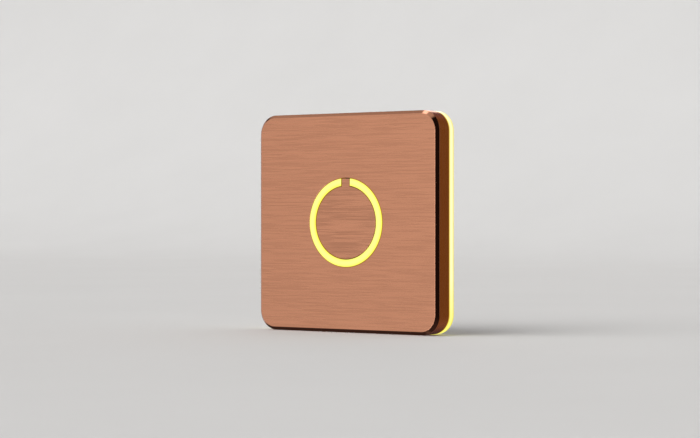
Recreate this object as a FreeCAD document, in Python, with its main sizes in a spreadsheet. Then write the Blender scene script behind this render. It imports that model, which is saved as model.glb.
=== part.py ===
import FreeCAD, Part
import math
import os
import Sketcher

# Square illuminated doorbell push button for a wall.
# The wall is the plane y = 0 and the front looks along -Y, with +Z up and the origin at the middle
# of the back. A level is a distance in front of the wall, so a face at level 3 lies at y = -3.
# Lengths are in millimetres.

FLAT = 1e-4      # how far an edge may stray from a plane and still count as lying in it
TURN = 360.0
WIRE_SIDES = 4   # sides that stand for the spring wire's round section
HEX_SIDES = 6    # sides of the key sockets in the grub screws
SPOKES = 4       # spokes of the carrier, between the screws' directions
PEGS = 3         # pegs that join the cap to the plunger
RESISTORS = 4

SIZES = (
    # front cover
    ("plate_width", 80.0),         # outside, left to right
    ("plate_height", 80.0),        # outside, bottom to top
    ("corner_radius", 7.2),        # outside corners, seen from the front
    ("bevel", 1.2),                # flat 45 degree bevel round the face
    ("cover_wall", 2.0),           # side walls
    ("face_wall", 2.0),            # face
    ("carrier_hole_radius", 0.8),  # blind holes for the carrier screws
    ("carrier_hole_depth", 1.4),
    # halo diffuser
    ("halo_height", 3.1),          # lit band between the wall and the cover
    ("rib_thick", 1.3),            # rib that nests inside the cover
    ("rib_rise", 1.8),
    ("nest_gap", 0.15),            # rib to cover
    # base tray
    ("floor_thick", 1.6),
    ("tray_gap", 0.2),             # tray edge to the diffuser's window
    ("lip_thick", 0.8),            # lip that holds the diffuser down
    ("lip_reach", 2.1),
    ("lip_gap", 0.1),
    ("rim_width", 2.1),            # raised rim that carries the board
    ("solder_room", 0.6),          # floor to board
    ("tower_offset", 20.0),        # posts for the cover screws and hooks, each side of the middle
    ("tower_width", 5.0),
    ("tower_thick", 3.7),
    ("tower_room", 0.35),          # post to board and post to cover
    ("hook_reach", 2.3),           # how far a hook stands out of its post
    ("hook_thick", 1.1),
    ("hook_gap", 0.25),
    ("hook_drop", 0.65),           # hook below the top of its post
    ("slot_inset", 2.85),          # tray edge to the outer end of a wall-screw slot
    ("slot_width", 4.5),
    ("slot_length", 7.0),
    ("screw_room", 2.4),           # board edge to the wall-screw slot
    ("cable_width", 20.0),         # cable opening
    ("cable_height", 8.0),
    ("cable_radius", 2.0),
    ("seal_inset", 0.5),
    ("seal_width", 1.3),
    ("seal_thick", 0.7),
    ("seal_gap", 0.05),
    # board and its screws
    ("board_thick", 0.8),
    ("board_room", 0.4),           # board edge inside the tray edge
    ("board_screw_inset", 4.95),   # board edge to the board screws
    ("boss_width", 4.4),
    ("pilot_radius", 0.75),
    ("pilot_depth", 1.5),
    ("board_hole_radius", 1.1),
    ("shank_gap", 0.05),
    ("head_radius", 1.9),
    ("head_height", 1.1),
    ("drive_width", 0.45),
    ("drive_length", 2.2),
    ("drive_depth", 0.6),
    # ring of light
    ("ring_outer_radius", 16.25),
    ("ring_width", 2.75),
    ("ring_rise", 0.12),           # ring in front of the face
    ("ring_gap", 3.75),            # between the two ends, at the top
    ("ring_fit", 0.08),            # ring to the hole in the face
    ("ring_flange_reach", 1.75),
    ("ring_flange_thick", 0.8),
    ("ring_lip", 0.7),             # inner lip that holds the button in
    # button
    ("cap_fit", 0.25),             # cap to the ring
    ("cap_thick", 1.3),
    ("cap_edge", 0.12),            # broken front edge
    ("tab_width", 3.2),            # tab that bridges the gap in the ring
    ("tab_fit", 0.3),              # tab end to the hole in the face
    ("peg_side", 1.8),
    ("peg_length", 0.5),
    ("peg_inset", 3.45),           # cap edge to the pegs
    ("peg_gap", 0.05),
    ("plunger_thick", 0.8),
    ("plunger_fit", 0.25),         # plunger rim to the ring, behind its lip
    ("stop_gap", 0.1),             # plunger to the ring's lip, at rest
    ("key_width", 2.7),            # tongue under the tab
    ("key_fit", 0.5),
    ("stem_radius", 2.0),
    ("stem_length", 2.4),
    ("stem_edge", 0.3),
    ("stem_fit", 0.05),            # running fit in the carrier's bore
    ("travel", 0.6),
    ("press_spare", 0.2),          # pressed stem to the switch frame
    # button spring
    ("spring_room", 2.0),          # guide to the middle of the wire
    ("wire_radius", 0.15),
    ("spring_half_turns", 4),
    ("spring_ledge", 3.0),         # middle of the wire to the hub's edge
    ("spring_gap", 0.02),
    # carrier behind the face
    ("carrier_margin", 4.85),      # ring pocket to the carrier's edge
    ("carrier_corner", 5.0),
    ("carrier_screw_inset", 6.0),
    ("flange_fit", 0.15),          # ring flange in the carrier's pocket
    ("flange_gap", 0.05),
    ("ledge_width", 1.6),
    ("hub_thick", 1.0),
    ("hub_drop", 0.7),             # hub behind the back of the plate
    ("spoke_width", 3.0),
    ("spoke_overlap", 0.8),        # spoke ends inside the ledge
    ("guide_wall", 1.55),
    ("guide_front", 0.35),         # guide in front of the hub
    ("press_room", 0.25),          # pressed plunger to the guide
    ("lug_fit", 0.15),             # carrier's lug between the ends of the ring
    # cover screws
    ("grub_radius", 1.0),
    ("grub_length", 5.2),
    ("grub_wall", 0.4),            # post material in front of the grub screw
    ("grub_fit", 0.05),
    ("grub_sink", 0.1),
    ("hex_across", 0.9),
    ("hex_depth", 1.4),
    # switch
    ("switch_width", 6.0),
    ("switch_corner", 0.5),
    ("switch_body", 1.9),
    ("frame_thick", 0.3),
    ("frame_drop", 1.1),           # side tongues of the steel frame
    ("frame_tongue", 2.6),
    ("switch_wall", 0.5),
    ("cavity_floor", 0.4),
    ("actuator_fit", 0.1),
    ("collar_fit", 0.35),          # collar to the cavity
    ("collar_step", 0.4),          # collar wider than the push rod
    ("collar_thick", 0.5),
    ("actuator_crown", 0.2),
    ("dome_fit", 0.4),
    ("dome_thick", 0.12),
    ("dome_gap", 0.03),
    ("dome_top_radius", 0.7),
    ("leg_width", 0.7),
    ("leg_thick", 0.2),
    ("leg_reach", 1.2),
    ("leg_inset", 0.75),
    ("leg_rise", 0.8),
    # lamps
    ("ring_lamp_count", 8),
    ("lamp_length", 2.8),
    ("lamp_width", 1.6),
    ("lamp_height", 0.8),
    ("lamp_window", 0.3),          # rim round the window
    ("lamp_sink", 0.15),           # window below the rim
    ("lamp_outside", 6.0),         # post to the lamp on its outer side
    ("lamp_inside", 9.0),          # post to the lamp on its inner side
    ("lamp_corner", 8.95),         # board's upper or lower edge to the outer lamps of its sides
    ("lamp_beside", 6.35),         # notch for a wall screw to the lamps beside it
    ("halo_lamp_inset", 0.3),
    # parts on the board
    ("block_width", 12.0),
    ("block_length", 7.0),
    ("block_gap", 0.25),           # block to the carrier
    ("block_inset", 1.55),         # board edge to the block
    ("block_room", 0.9),           # block below the cable opening
    ("wire_pitch", 5.0),
    ("wire_hole", 2.4),
    ("wire_hole_depth", 5.0),
    ("well_radius", 1.6),
    ("well_depth", 1.2),
    ("clamp_thick", 0.4),
    ("clamp_screw_radius", 1.3),
    ("clamp_screw_height", 1.0),
    ("chip_width", 4.0),
    ("chip_length", 5.0),
    ("chip_height", 1.5),
    ("chip_leg_reach", 1.0),
    ("chip_leg_width", 0.42),
    ("chip_pitch", 1.27),
    ("chip_side", 7.65),           # board edge to the middle of a part beside the carrier
    ("chip_rise", 14.0),           # its height above or below the middle
    ("capacitor_length", 6.0),
    ("capacitor_width", 3.2),
    ("capacitor_height", 2.5),
    ("capacitor_end", 0.3),        # plated end strips
    ("capacitor_end_width", 2.2),
    ("resistor_length", 2.0),
    ("resistor_width", 1.25),
    ("resistor_height", 0.5),
    ("resistor_end", 0.4),
    ("resistor_dip", 0.05),
    ("resistor_pitch", 3.0),
    ("resistor_drop", 7.0),
)

PLACES = (
    # levels in front of the wall, from the wall to the face
    ("board_level", "size.floor_thick + size.solder_room"),
    ("board_top", "board_level + size.board_thick"),
    ("cavity_level", "board_top + size.cavity_floor"),
    ("frame_level", "board_top + size.switch_body"),
    ("frame_top", "frame_level + size.frame_thick"),
    ("collar_level", "frame_level - size.shank_gap"),
    ("dome_top", "collar_level - size.collar_thick - size.dome_gap"),
    ("stem_end", "frame_top + size.press_spare + size.travel"),
    ("plunger_level", "stem_end + size.stem_length"),
    ("cap_level", "plunger_level + size.plunger_thick"),
    ("face_level", "cap_level + size.cap_thick"),
    ("face_back", "face_level - size.face_wall"),
    ("cover_depth", "face_level - size.halo_height"),
    ("ring_front", "face_level + size.ring_rise"),
    ("lip_level", "cap_level + size.stop_gap"),
    ("ring_back", "face_back - size.ring_flange_thick"),
    ("pocket_level", "ring_back - size.flange_gap"),
    ("guide_end", "plunger_level - size.travel - size.press_room"),
    ("hub_front", "guide_end - size.guide_front"),
    ("hub_level", "hub_front - size.hub_thick"),
    ("carrier_level", "hub_level + size.hub_drop"),
    ("block_front", "carrier_level - size.block_gap"),
    ("well_level", "block_front - size.well_depth"),
    ("tower_top", "face_back - size.tower_room"),
    ("hook_level", "tower_top - size.hook_drop - size.hook_thick"),
    ("grub_hole", "size.grub_radius + size.grub_fit"),
    ("grub_level", "tower_top - size.grub_wall - grub_hole"),
    # outlines, as distances inside the cover's outline
    ("half_width", "size.plate_width / 2"),
    ("half_height", "size.plate_height / 2"),
    ("rib_inset", "size.cover_wall + size.nest_gap"),
    ("window_inset", "rib_inset + size.rib_thick"),
    ("tray_inset", "window_inset + size.tray_gap"),
    ("lip_inset", "tray_inset - size.lip_reach"),
    ("board_inset", "tray_inset + size.board_room"),
    ("tray_side", "half_width - tray_inset"),
    ("tray_edge", "half_height - tray_inset"),
    ("board_side", "half_width - board_inset"),
    ("board_edge", "half_height - board_inset"),
    # places on the tray and the board
    ("slot_place", "tray_side - size.slot_inset - size.slot_length / 2"),
    ("board_screw_x", "board_side - size.board_screw_inset"),
    ("board_screw_y", "board_edge - size.board_screw_inset"),
    ("block_top", "size.block_inset + size.block_length - board_edge"),
    ("cable_place", "block_top + size.block_room + size.cable_height / 2"),
    ("notch_rise", "size.slot_width / 2 + size.screw_room"),
    ("lamp_x_near", "size.tower_offset - size.lamp_inside"),
    ("lamp_x_far", "size.tower_offset + size.lamp_outside"),
    ("lamp_y_near", "notch_rise + size.lamp_beside"),
    ("lamp_y_far", "board_edge - size.lamp_corner"),
    ("lamp_out", "size.halo_lamp_inset + size.lamp_width / 2"),
    ("chip_x", "board_side - size.chip_side"),
    # radii of the ring, the button and the carrier
    ("ring_inner", "size.ring_outer_radius - size.ring_width"),
    ("hole_radius", "size.ring_outer_radius + size.ring_fit"),
    ("cap_radius", "ring_inner - size.cap_fit"),
    ("tab_end", "hole_radius - size.tab_fit"),
    ("peg_circle", "cap_radius - size.peg_inset"),
    ("step_radius", "ring_inner + size.ring_lip"),
    ("plunger_radius", "step_radius - size.plunger_fit"),
    ("ring_lamp_circle", "(step_radius + size.ring_outer_radius) / 2"),
    ("flange_radius", "size.ring_outer_radius + size.ring_flange_reach"),
    ("pocket_radius", "flange_radius + size.flange_fit"),
    ("window_radius", "pocket_radius - size.ledge_width"),
    ("carrier_half", "pocket_radius + size.carrier_margin"),
    ("carrier_screw", "carrier_half - size.carrier_screw_inset"),
    ("bore_radius", "size.stem_radius + size.stem_fit"),
    ("guide_radius", "bore_radius + size.guide_wall"),
    ("spring_radius", "guide_radius + size.spring_room"),
    ("hub_radius", "spring_radius + size.spring_ledge"),
    # radii of the switch
    ("cavity_radius", "size.switch_width / 2 - size.switch_wall"),
    ("dome_radius", "cavity_radius - size.dome_fit"),
    ("collar_radius", "cavity_radius - size.collar_fit"),
    ("actuator_radius", "collar_radius - size.collar_step"),
)

document = FreeCAD.newDocument("doorbell_push_button")
sheet = document.addObject("Spreadsheet::Sheet", "size")
for row, (alias, number) in enumerate(SIZES, 1):
    sheet.set(f"A{row}", alias)
    sheet.set(f"B{row}", str(number))
    sheet.setAlias(f"B{row}", alias)
document.recompute()

places = document.addObject("App::VarSet", "place")
for name, formula in PLACES:
    places.addProperty("App::PropertyFloat", name, "Places")
    places.setExpression(name, formula)
document.recompute()


def value(formula):
    """Number that a formula gives with the present sizes."""
    return float(sheet.evalExpression(formula))


def new_body(name):
    """Empty body for one piece, labelled with the piece's name."""
    body = document.addObject("PartDesign::Body", name)
    body.Label = name
    body.AllowCompound = True
    return body


def origin_part(body, role):
    """Origin plane or axis of a body, by its role."""
    return next(part for part in body.Origin.OriginFeatures if part.Role == role)


def new_sketch(body, name, role):
    """Empty sketch on one of the body's origin planes."""
    sketch = body.newObject("Sketcher::SketchObject", f"{body.Name}_{name}")
    sketch.AttachmentSupport = [(origin_part(body, role), "")]
    sketch.MapMode = "FlatFace"
    return sketch


def front_sketch(body, name, level):
    """Sketch seen from the front, at a level: x runs to the right and y up."""
    sketch = new_sketch(body, name, "XZ_Plane")
    sketch.setExpression("AttachmentOffset.Base.z", level)
    return sketch


def side_sketch(body, name, across="0", up="0"):
    """Upright sketch along the pressing direction: x is the level and y the height above `up`."""
    sketch = new_sketch(body, name, "YZ_Plane")
    sketch.AttachmentOffset = FreeCAD.Placement(
        FreeCAD.Vector(), FreeCAD.Rotation(FreeCAD.Vector(0, 1, 0), TURN / 2)
    )
    sketch.setExpression("AttachmentOffset.Base.z", across)
    sketch.setExpression("AttachmentOffset.Base.y", up)
    return sketch


def top_sketch(body, name, up):
    """Level sketch at a height: x runs to the right and y is minus the level."""
    sketch = new_sketch(body, name, "XY_Plane")
    sketch.setExpression("AttachmentOffset.Base.z", up)
    return sketch


def hold(sketch, kind, curve, point, formula):
    """Ties a point's x or y to a formula, or a curve's radius when no point is given."""
    if kind == "Radius":
        number = sketch.addConstraint(Sketcher.Constraint(kind, curve, value(formula)))
    elif formula == "0":
        axis = -2 if kind == "DistanceX" else -1
        sketch.addConstraint(Sketcher.Constraint("PointOnObject", curve, point, axis))
        return
    else:
        number = sketch.addConstraint(
            Sketcher.Constraint(kind, -1, 1, curve, point, value(formula))
        )
    title = f"tie_{number}_of"
    sketch.renameConstraint(number, title)
    sketch.setExpression(f"Constraints.{title}", formula)


def polygon(sketch, corners):
    """Closed straight-sided outline; each corner is a pair of formulas."""
    points = [FreeCAD.Vector(value(x), value(y), 0) for x, y in corners]
    count = len(points)
    lines = [
        sketch.addGeometry(Part.LineSegment(points[i], points[(i + 1) % count]), False)
        for i in range(count)
    ]
    for i, line in enumerate(lines):
        sketch.addConstraint(Sketcher.Constraint("Coincident", line, 2, lines[(i + 1) % count], 1))
        hold(sketch, "DistanceX", line, 1, corners[i][0])
        hold(sketch, "DistanceY", line, 1, corners[i][1])


def rectangle(sketch, left, bottom, right, top):
    """Rectangle between four formulas."""
    polygon(sketch, [(left, bottom), (right, bottom), (right, top), (left, top)])


def square(sketch, side, x, y):
    """Square about a point given by formulas."""
    half = f"({side}) / 2"
    rectangle(sketch, f"{x} - {half}", f"{y} - {half}", f"{x} + {half}", f"{y} + {half}")


def circle(sketch, radius, x="0", y="0"):
    """Circle about a point given by formulas."""
    centre = FreeCAD.Vector(value(x), value(y), 0)
    axis = FreeCAD.Vector(0, 0, 1)
    curve = sketch.addGeometry(Part.Circle(centre, axis, value(radius)), False)
    hold(sketch, "Radius", curve, None, radius)
    hold(sketch, "DistanceX", curve, 3, x)
    hold(sketch, "DistanceY", curve, 3, y)


def rounded(sketch, width, height, radius, x="0", y="0"):
    """Rectangle with round corners about a point, as four sides and four tangent arcs."""
    right = value(f"({x}) + ({width}) / 2")
    top = value(f"({y}) + ({height}) / 2")
    left = right - value(width)
    bottom = top - value(height)
    r = value(radius)
    axis = FreeCAD.Vector(0, 0, 1)
    centres = ((right - r, top - r), (left + r, top - r), (left + r, bottom + r), (right - r, bottom + r))
    arcs = []
    for quarter, (cx, cy) in enumerate(centres):
        start = quarter * math.pi / 2
        ring = Part.Circle(FreeCAD.Vector(cx, cy, 0), axis, r)
        arcs.append(sketch.addGeometry(Part.ArcOfCircle(ring, start, start + math.pi / 2), False))
    for i, arc in enumerate(arcs):
        after = arcs[(i + 1) % 4]
        ends = sketch.Geometry[arc].EndPoint, sketch.Geometry[after].StartPoint
        side = sketch.addGeometry(Part.LineSegment(*ends), False)
        sketch.addConstraint(Sketcher.Constraint("Tangent", arc, 2, side, 1))
        sketch.addConstraint(Sketcher.Constraint("Tangent", side, 2, after, 1))
        sketch.addConstraint(Sketcher.Constraint("Horizontal" if i % 2 == 0 else "Vertical", side))
        if i:
            sketch.addConstraint(Sketcher.Constraint("Equal", arcs[0], arc))
    hold(sketch, "Radius", arcs[0], None, radius)
    hold(sketch, "DistanceX", arcs[0], 1, f"({x}) + ({width}) / 2")
    hold(sketch, "DistanceY", arcs[0], 2, f"({y}) + ({height}) / 2")
    hold(sketch, "DistanceX", arcs[1], 2, f"({x}) - ({width}) / 2")
    hold(sketch, "DistanceY", arcs[2], 2, f"({y}) - ({height}) / 2")


def slot(sketch, length, width, x):
    """Slot with round ends, lying across at the middle height, centred on a formula."""
    reach = f"({length} - {width}) / 2"
    half = value(width) / 2
    ends = [value(f"{x} + {reach}"), value(f"{x} - {reach}")]
    axis = FreeCAD.Vector(0, 0, 1)
    arcs = []
    for end, start in zip(ends, (-math.pi / 2, math.pi / 2)):
        ring = Part.Circle(FreeCAD.Vector(end, 0, 0), axis, half)
        arcs.append(sketch.addGeometry(Part.ArcOfCircle(ring, start, start + math.pi), False))
    for first, second in (arcs, arcs[::-1]):
        side = sketch.addGeometry(
            Part.LineSegment(sketch.Geometry[first].EndPoint, sketch.Geometry[second].StartPoint), False
        )
        sketch.addConstraint(Sketcher.Constraint("Tangent", first, 2, side, 1))
        sketch.addConstraint(Sketcher.Constraint("Tangent", side, 2, second, 1))
    sketch.addConstraint(Sketcher.Constraint("Equal", *arcs))
    hold(sketch, "Radius", arcs[0], None, f"{width} / 2")
    hold(sketch, "DistanceX", arcs[0], 3, f"{x} + {reach}")
    hold(sketch, "DistanceX", arcs[1], 3, f"{x} - {reach}")
    hold(sketch, "DistanceY", arcs[0], 3, "0")
    hold(sketch, "DistanceY", arcs[1], 3, "0")


def inset_outline(sketch, inset):
    """Outline of the whole button, moved inwards all round by a formula."""
    rounded(
        sketch,
        f"size.plate_width - 2 * ({inset})",
        f"size.plate_height - 2 * ({inset})",
        f"size.corner_radius - ({inset})",
    )


def pad(body, sketch, length, centred=False):
    """Solid from a sketch, towards the front (or up, or both ways where centred)."""
    feature = body.newObject("PartDesign::Pad", f"{sketch.Name}_pad")
    feature.Profile = sketch
    feature.Midplane = centred
    feature.setExpression("Length", length)
    document.recompute()
    return feature


def cut(body, sketch, length, centred=False):
    """Pocket from a sketch, towards the front (or up); it has to take something away."""
    before = body.Shape.Volume
    feature = body.newObject("PartDesign::Pocket", f"{sketch.Name}_cut")
    feature.Profile = sketch
    feature.Reversed = True
    feature.Midplane = centred
    feature.setExpression("Length", length)
    document.recompute()
    if body.Shape.Volume >= before:
        raise ValueError(f"{feature.Name} takes nothing away")
    return feature


def turn(body, sketch):
    """Solid of revolution about the sketch's own x axis."""
    feature = body.newObject("PartDesign::Revolution", f"{sketch.Name}_turn")
    feature.Profile = sketch
    feature.ReferenceAxis = (sketch, ["H_Axis"])
    feature.Angle = TURN
    document.recompute()
    return feature


def pattern_round(body, originals, count):
    """Copies of features, evenly spaced about the pressing axis."""
    feature = body.newObject("PartDesign::PolarPattern", f"{body.Name}_round")
    feature.Originals = originals
    feature.Axis = (origin_part(body, "Y_Axis"), [""])
    feature.Angle = TURN
    feature.Occurrences = count
    body.Tip = feature
    document.recompute()
    return feature


def mirror(body, originals, *roles):
    """Copies of features on the other side of one origin plane, or of each of two in turn."""
    steps = []
    for role in roles:
        step = body.newObject("PartDesign::Mirrored", f"{body.Name}_mirror_{role[:2]}")
        step.MirrorPlane = (origin_part(body, role), [""])
        steps.append(step)
    feature = steps[0]
    if len(steps) > 1:
        feature = body.newObject("PartDesign::MultiTransform", f"{body.Name}_mirrors")
        feature.Transformations = steps
    feature.Originals = originals
    body.Tip = feature
    document.recompute()
    return feature


def edges_at(shape, level):
    """Names of the edges that lie at one level."""
    names = []
    for number, edge in enumerate(shape.Edges, 1):
        box = edge.BoundBox
        if abs(box.YMin + level) < FLAT and abs(box.YMax + level) < FLAT:
            names.append(f"Edge{number}")
    return names


def chamfer(body, base, edges, width):
    """Equal chamfer on named edges of the last feature."""
    feature = body.newObject("PartDesign::Chamfer", f"{base.Name}_chamfer")
    feature.Base = (base, edges)
    feature.setExpression("Size", width)
    document.recompute()
    return feature


def corners(across, up):
    """The four corners of a rectangle about the middle, as pairs of formulas."""
    return [(f"{a}{across}", f"{b}{up}") for a in ("", "-") for b in ("", "-")]


def front_cover():
    """Copper shell: face with a round hole, bevelled edge and four side walls."""
    body = new_body("front_cover")
    outline = front_sketch(body, "outline", "size.halo_height")
    inset_outline(outline, "0")
    block = pad(body, outline, "place.cover_depth")
    chamfer(body, block, edges_at(block.Shape, value("place.face_level")), "size.bevel")
    hollow = front_sketch(body, "hollow", "size.halo_height")
    inset_outline(hollow, "size.cover_wall")
    cut(body, hollow, "place.cover_depth - size.face_wall")
    hole = front_sketch(body, "button_hole", "place.face_back")
    circle(hole, "place.hole_radius")
    cut(body, hole, "size.face_wall")
    holes = front_sketch(body, "carrier_holes", "place.face_back")
    for x, y in corners("place.carrier_screw", "place.carrier_screw"):
        circle(holes, "size.carrier_hole_radius", x, y)
    cut(body, holes, "size.carrier_hole_depth")
    grubs = top_sketch(body, "grub_holes", "-place.half_height")
    for side in ("-", ""):
        circle(grubs, "place.grub_hole", f"{side}size.tower_offset", "-place.grub_level")
    cut(body, grubs, "size.cover_wall")
    catches = top_sketch(body, "hook_recesses", "place.half_height - size.cover_wall")
    for side in ("-", ""):
        middle = f"{side}size.tower_offset"
        rectangle(
            catches,
            f"{middle} - size.tower_width / 2 - size.hook_gap",
            "-place.hook_level - size.hook_thick - size.hook_gap",
            f"{middle} + size.tower_width / 2 + size.hook_gap",
            "-place.hook_level + size.hook_gap",
        )
    cut(body, catches, "size.hook_reach + size.hook_gap - place.tray_inset + size.cover_wall")
    return body


def halo_diffuser():
    """Opal frame: lit band against the wall and a rib that nests inside the cover."""
    body = new_body("halo_diffuser")
    band = front_sketch(body, "band", "0")
    inset_outline(band, "0")
    inset_outline(band, "place.window_inset")
    pad(body, band, "size.halo_height")
    rib = front_sketch(body, "rib", "size.halo_height")
    inset_outline(rib, "place.rib_inset")
    inset_outline(rib, "place.window_inset")
    pad(body, rib, "size.rib_rise")
    rebate = front_sketch(body, "rebate", "0")
    inset_outline(rebate, "place.lip_inset - size.lip_gap")
    cut(body, rebate, "size.lip_thick + size.lip_gap")
    return body


def tower(sketch, middle, top_side):
    """Footprint of a post that stands at the tray's top or bottom edge."""
    sign = "" if top_side else "-"
    edges = [f"{sign}(place.tray_edge - size.tower_thick)", f"{sign}place.tray_edge"]
    if not top_side:
        edges.reverse()
    left = f"{middle} - size.tower_width / 2"
    right = f"{middle} + size.tower_width / 2"
    rectangle(sketch, left, edges[0], right, edges[1])


def base_tray():
    """Moulded tray screwed to the wall: floor, lip, board rim, bosses, posts and hooks."""
    body = new_body("base_tray")
    floor = front_sketch(body, "floor", "0")
    inset_outline(floor, "place.tray_inset")
    pad(body, floor, "size.floor_thick")
    lip = front_sketch(body, "lip", "0")
    inset_outline(lip, "place.lip_inset")
    pad(body, lip, "size.lip_thick")
    rim = front_sketch(body, "rim", "size.floor_thick")
    inset_outline(rim, "place.tray_inset")
    inset_outline(rim, "place.tray_inset + size.rim_width")
    pad(body, rim, "size.solder_room")
    bosses = front_sketch(body, "bosses", "size.floor_thick")
    for x, y in corners("place.board_screw_x", "place.board_screw_y"):
        square(bosses, "size.boss_width", x, y)
    pad(body, bosses, "size.solder_room")
    posts = front_sketch(body, "posts", "size.floor_thick")
    for side in ("-", ""):
        for top_side in (True, False):
            tower(posts, f"{side}size.tower_offset", top_side)
    pad(body, posts, "place.tower_top - size.floor_thick")
    hooks = top_sketch(body, "hooks", "place.tray_edge")
    for side in ("-", ""):
        middle = f"{side}size.tower_offset"
        rectangle(
            hooks,
            f"{middle} - size.tower_width / 2",
            "-place.hook_level - size.hook_thick",
            f"{middle} + size.tower_width / 2",
            "-place.hook_level",
        )
    pad(body, hooks, "size.hook_reach")
    pilots = front_sketch(body, "pilots", "place.board_level - size.pilot_depth")
    for x, y in corners("place.board_screw_x", "place.board_screw_y"):
        circle(pilots, "size.pilot_radius + size.shank_gap", x, y)
    cut(body, pilots, "size.pilot_depth")
    slots = front_sketch(body, "wall_slots", "0")
    for side in ("-", ""):
        slot(slots, "size.slot_length", "size.slot_width", f"{side}place.slot_place")
    cut(body, slots, "size.floor_thick + size.solder_room")
    cable = front_sketch(body, "cable_opening", "0")
    rounded(cable, "size.cable_width", "size.cable_height", "size.cable_radius", "0", "place.cable_place")
    cut(body, cable, "size.floor_thick")
    groove = front_sketch(body, "seal_groove", "0")
    inset_outline(groove, "place.tray_inset + size.seal_inset")
    inset_outline(groove, "place.tray_inset + size.seal_inset + size.seal_width")
    cut(body, groove, "size.seal_thick")
    sockets = top_sketch(body, "grub_sockets", "-place.tray_edge")
    for side in ("-", ""):
        circle(sockets, "place.grub_hole", f"{side}size.tower_offset", "-place.grub_level")
    cut(body, sockets, "size.grub_sink + size.grub_length - place.tray_inset + size.grub_fit")
    return body


def wall_seal():
    """Foam ring in the groove of the tray's back."""
    body = new_body("wall_seal")
    ring = front_sketch(body, "ring", "0")
    inset_outline(ring, "place.tray_inset + size.seal_inset + size.seal_gap")
    inset_outline(ring, "place.tray_inset + size.seal_inset + size.seal_width - size.seal_gap")
    pad(body, ring, "size.seal_thick - size.seal_gap")
    return body


def circuit_board():
    """Board on the tray's rim, cut away round the wall screws, the posts and the cable."""
    body = new_body("circuit_board")
    outline = front_sketch(body, "outline", "place.board_level")
    inset_outline(outline, "place.board_inset")
    pad(body, outline, "size.board_thick")
    holes = front_sketch(body, "screw_holes", "place.board_level")
    for x, y in corners("place.board_screw_x", "place.board_screw_y"):
        circle(holes, "size.board_hole_radius", x, y)
    cut(body, holes, "size.board_thick")
    cable = front_sketch(body, "cable_opening", "place.board_level")
    rounded(cable, "size.cable_width", "size.cable_height", "size.cable_radius", "0", "place.cable_place")
    cut(body, cable, "size.board_thick")
    reach = "place.slot_place - size.slot_length / 2 - size.screw_room"
    for title, left, right in (
        ("left", "-place.half_width", f"-({reach})"),
        ("right", reach, "place.half_width"),
    ):
        notch = front_sketch(body, f"{title}_notch", "place.board_level")
        rectangle(notch, left, "-place.notch_rise", right, "place.notch_rise")
        cut(body, notch, "size.board_thick")
    notches = front_sketch(body, "post_notches", "place.board_level")
    inner = "(place.tray_edge - size.tower_thick - size.tower_room)"
    for side in ("-", ""):
        left = f"{side}size.tower_offset - size.tower_width / 2 - size.tower_room"
        right = f"{side}size.tower_offset + size.tower_width / 2 + size.tower_room"
        rectangle(notches, left, inner, right, "place.half_height")
        rectangle(notches, left, "-place.half_height", right, f"-{inner}")
    cut(body, notches, "size.board_thick")
    return body


def pan_screws(name, across, up, seat, length, shank, forwards):
    """Four pan-head screws at the corners of a rectangle, with heads before or behind the seat."""
    body = new_body(name)
    head = "+" if forwards else "-"
    tip = "-" if forwards else "+"
    profile = side_sketch(body, "profile", across, up)
    polygon(profile, [
        (f"{seat} {tip} ({length})", "0"),
        (f"{seat} {tip} ({length})", shank),
        (seat, shank),
        (seat, "size.head_radius"),
        (f"{seat} {head} size.head_height", "size.head_radius"),
        (f"{seat} {head} size.head_height", "0"),
    ])
    screw = turn(body, profile)
    level = f"{seat} {head} size.head_height"
    if forwards:
        level = f"{level} - size.drive_depth"
    recess = front_sketch(body, "drive", level)
    rectangle(
        recess,
        f"{across} - size.drive_length / 2", f"{up} - size.drive_width / 2",
        f"{across} + size.drive_length / 2", f"{up} + size.drive_width / 2",
    )
    drive = cut(body, recess, "size.drive_depth")
    mirror(body, [screw, drive], "YZ_Plane", "XY_Plane")
    return body


def ring_lens():
    """C-shaped opal light guide: front ring, back flange and a lip that holds the button in."""
    body = new_body("ring_lens")
    profile = side_sketch(body, "profile")
    polygon(profile, [
        ("place.ring_back", "place.step_radius"),
        ("place.ring_back", "place.flange_radius"),
        ("place.face_back", "place.flange_radius"),
        ("place.face_back", "size.ring_outer_radius"),
        ("place.ring_front", "size.ring_outer_radius"),
        ("place.ring_front", "place.ring_inner"),
        ("place.lip_level", "place.ring_inner"),
        ("place.lip_level", "place.step_radius"),
    ])
    turn(body, profile)
    gap = front_sketch(body, "gap", "place.ring_back")
    rectangle(gap, "-size.ring_gap / 2", "place.ring_inner / 2", "size.ring_gap / 2",
              "place.flange_radius + size.ring_lip")
    cut(body, gap, "place.ring_front - place.ring_back")
    return body


def peg_places():
    """Places of the pegs that join the cap to the plunger, as pairs of formulas."""
    for i in range(PEGS):
        angle = TURN * i / PEGS - TURN / 4
        yield f"place.peg_circle * cos({angle})", f"place.peg_circle * sin({angle})"


def button_cap():
    """Copper disc with the tab that bridges the gap in the ring, and three pegs behind."""
    body = new_body("button_cap")
    disc = front_sketch(body, "disc", "place.cap_level")
    circle(disc, "place.cap_radius")
    pad(body, disc, "size.cap_thick")
    tab = front_sketch(body, "tab", "place.cap_level")
    rectangle(tab, "-size.tab_width / 2", "0", "size.tab_width / 2", "place.tab_end")
    whole = pad(body, tab, "size.cap_thick")
    chamfer(body, whole, edges_at(whole.Shape, value("place.face_level")), "size.cap_edge")
    pegs = front_sketch(body, "pegs", "place.cap_level - size.peg_length")
    for x, y in peg_places():
        square(pegs, "size.peg_side", x, y)
    pad(body, pegs, "size.peg_length")
    return body


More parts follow.
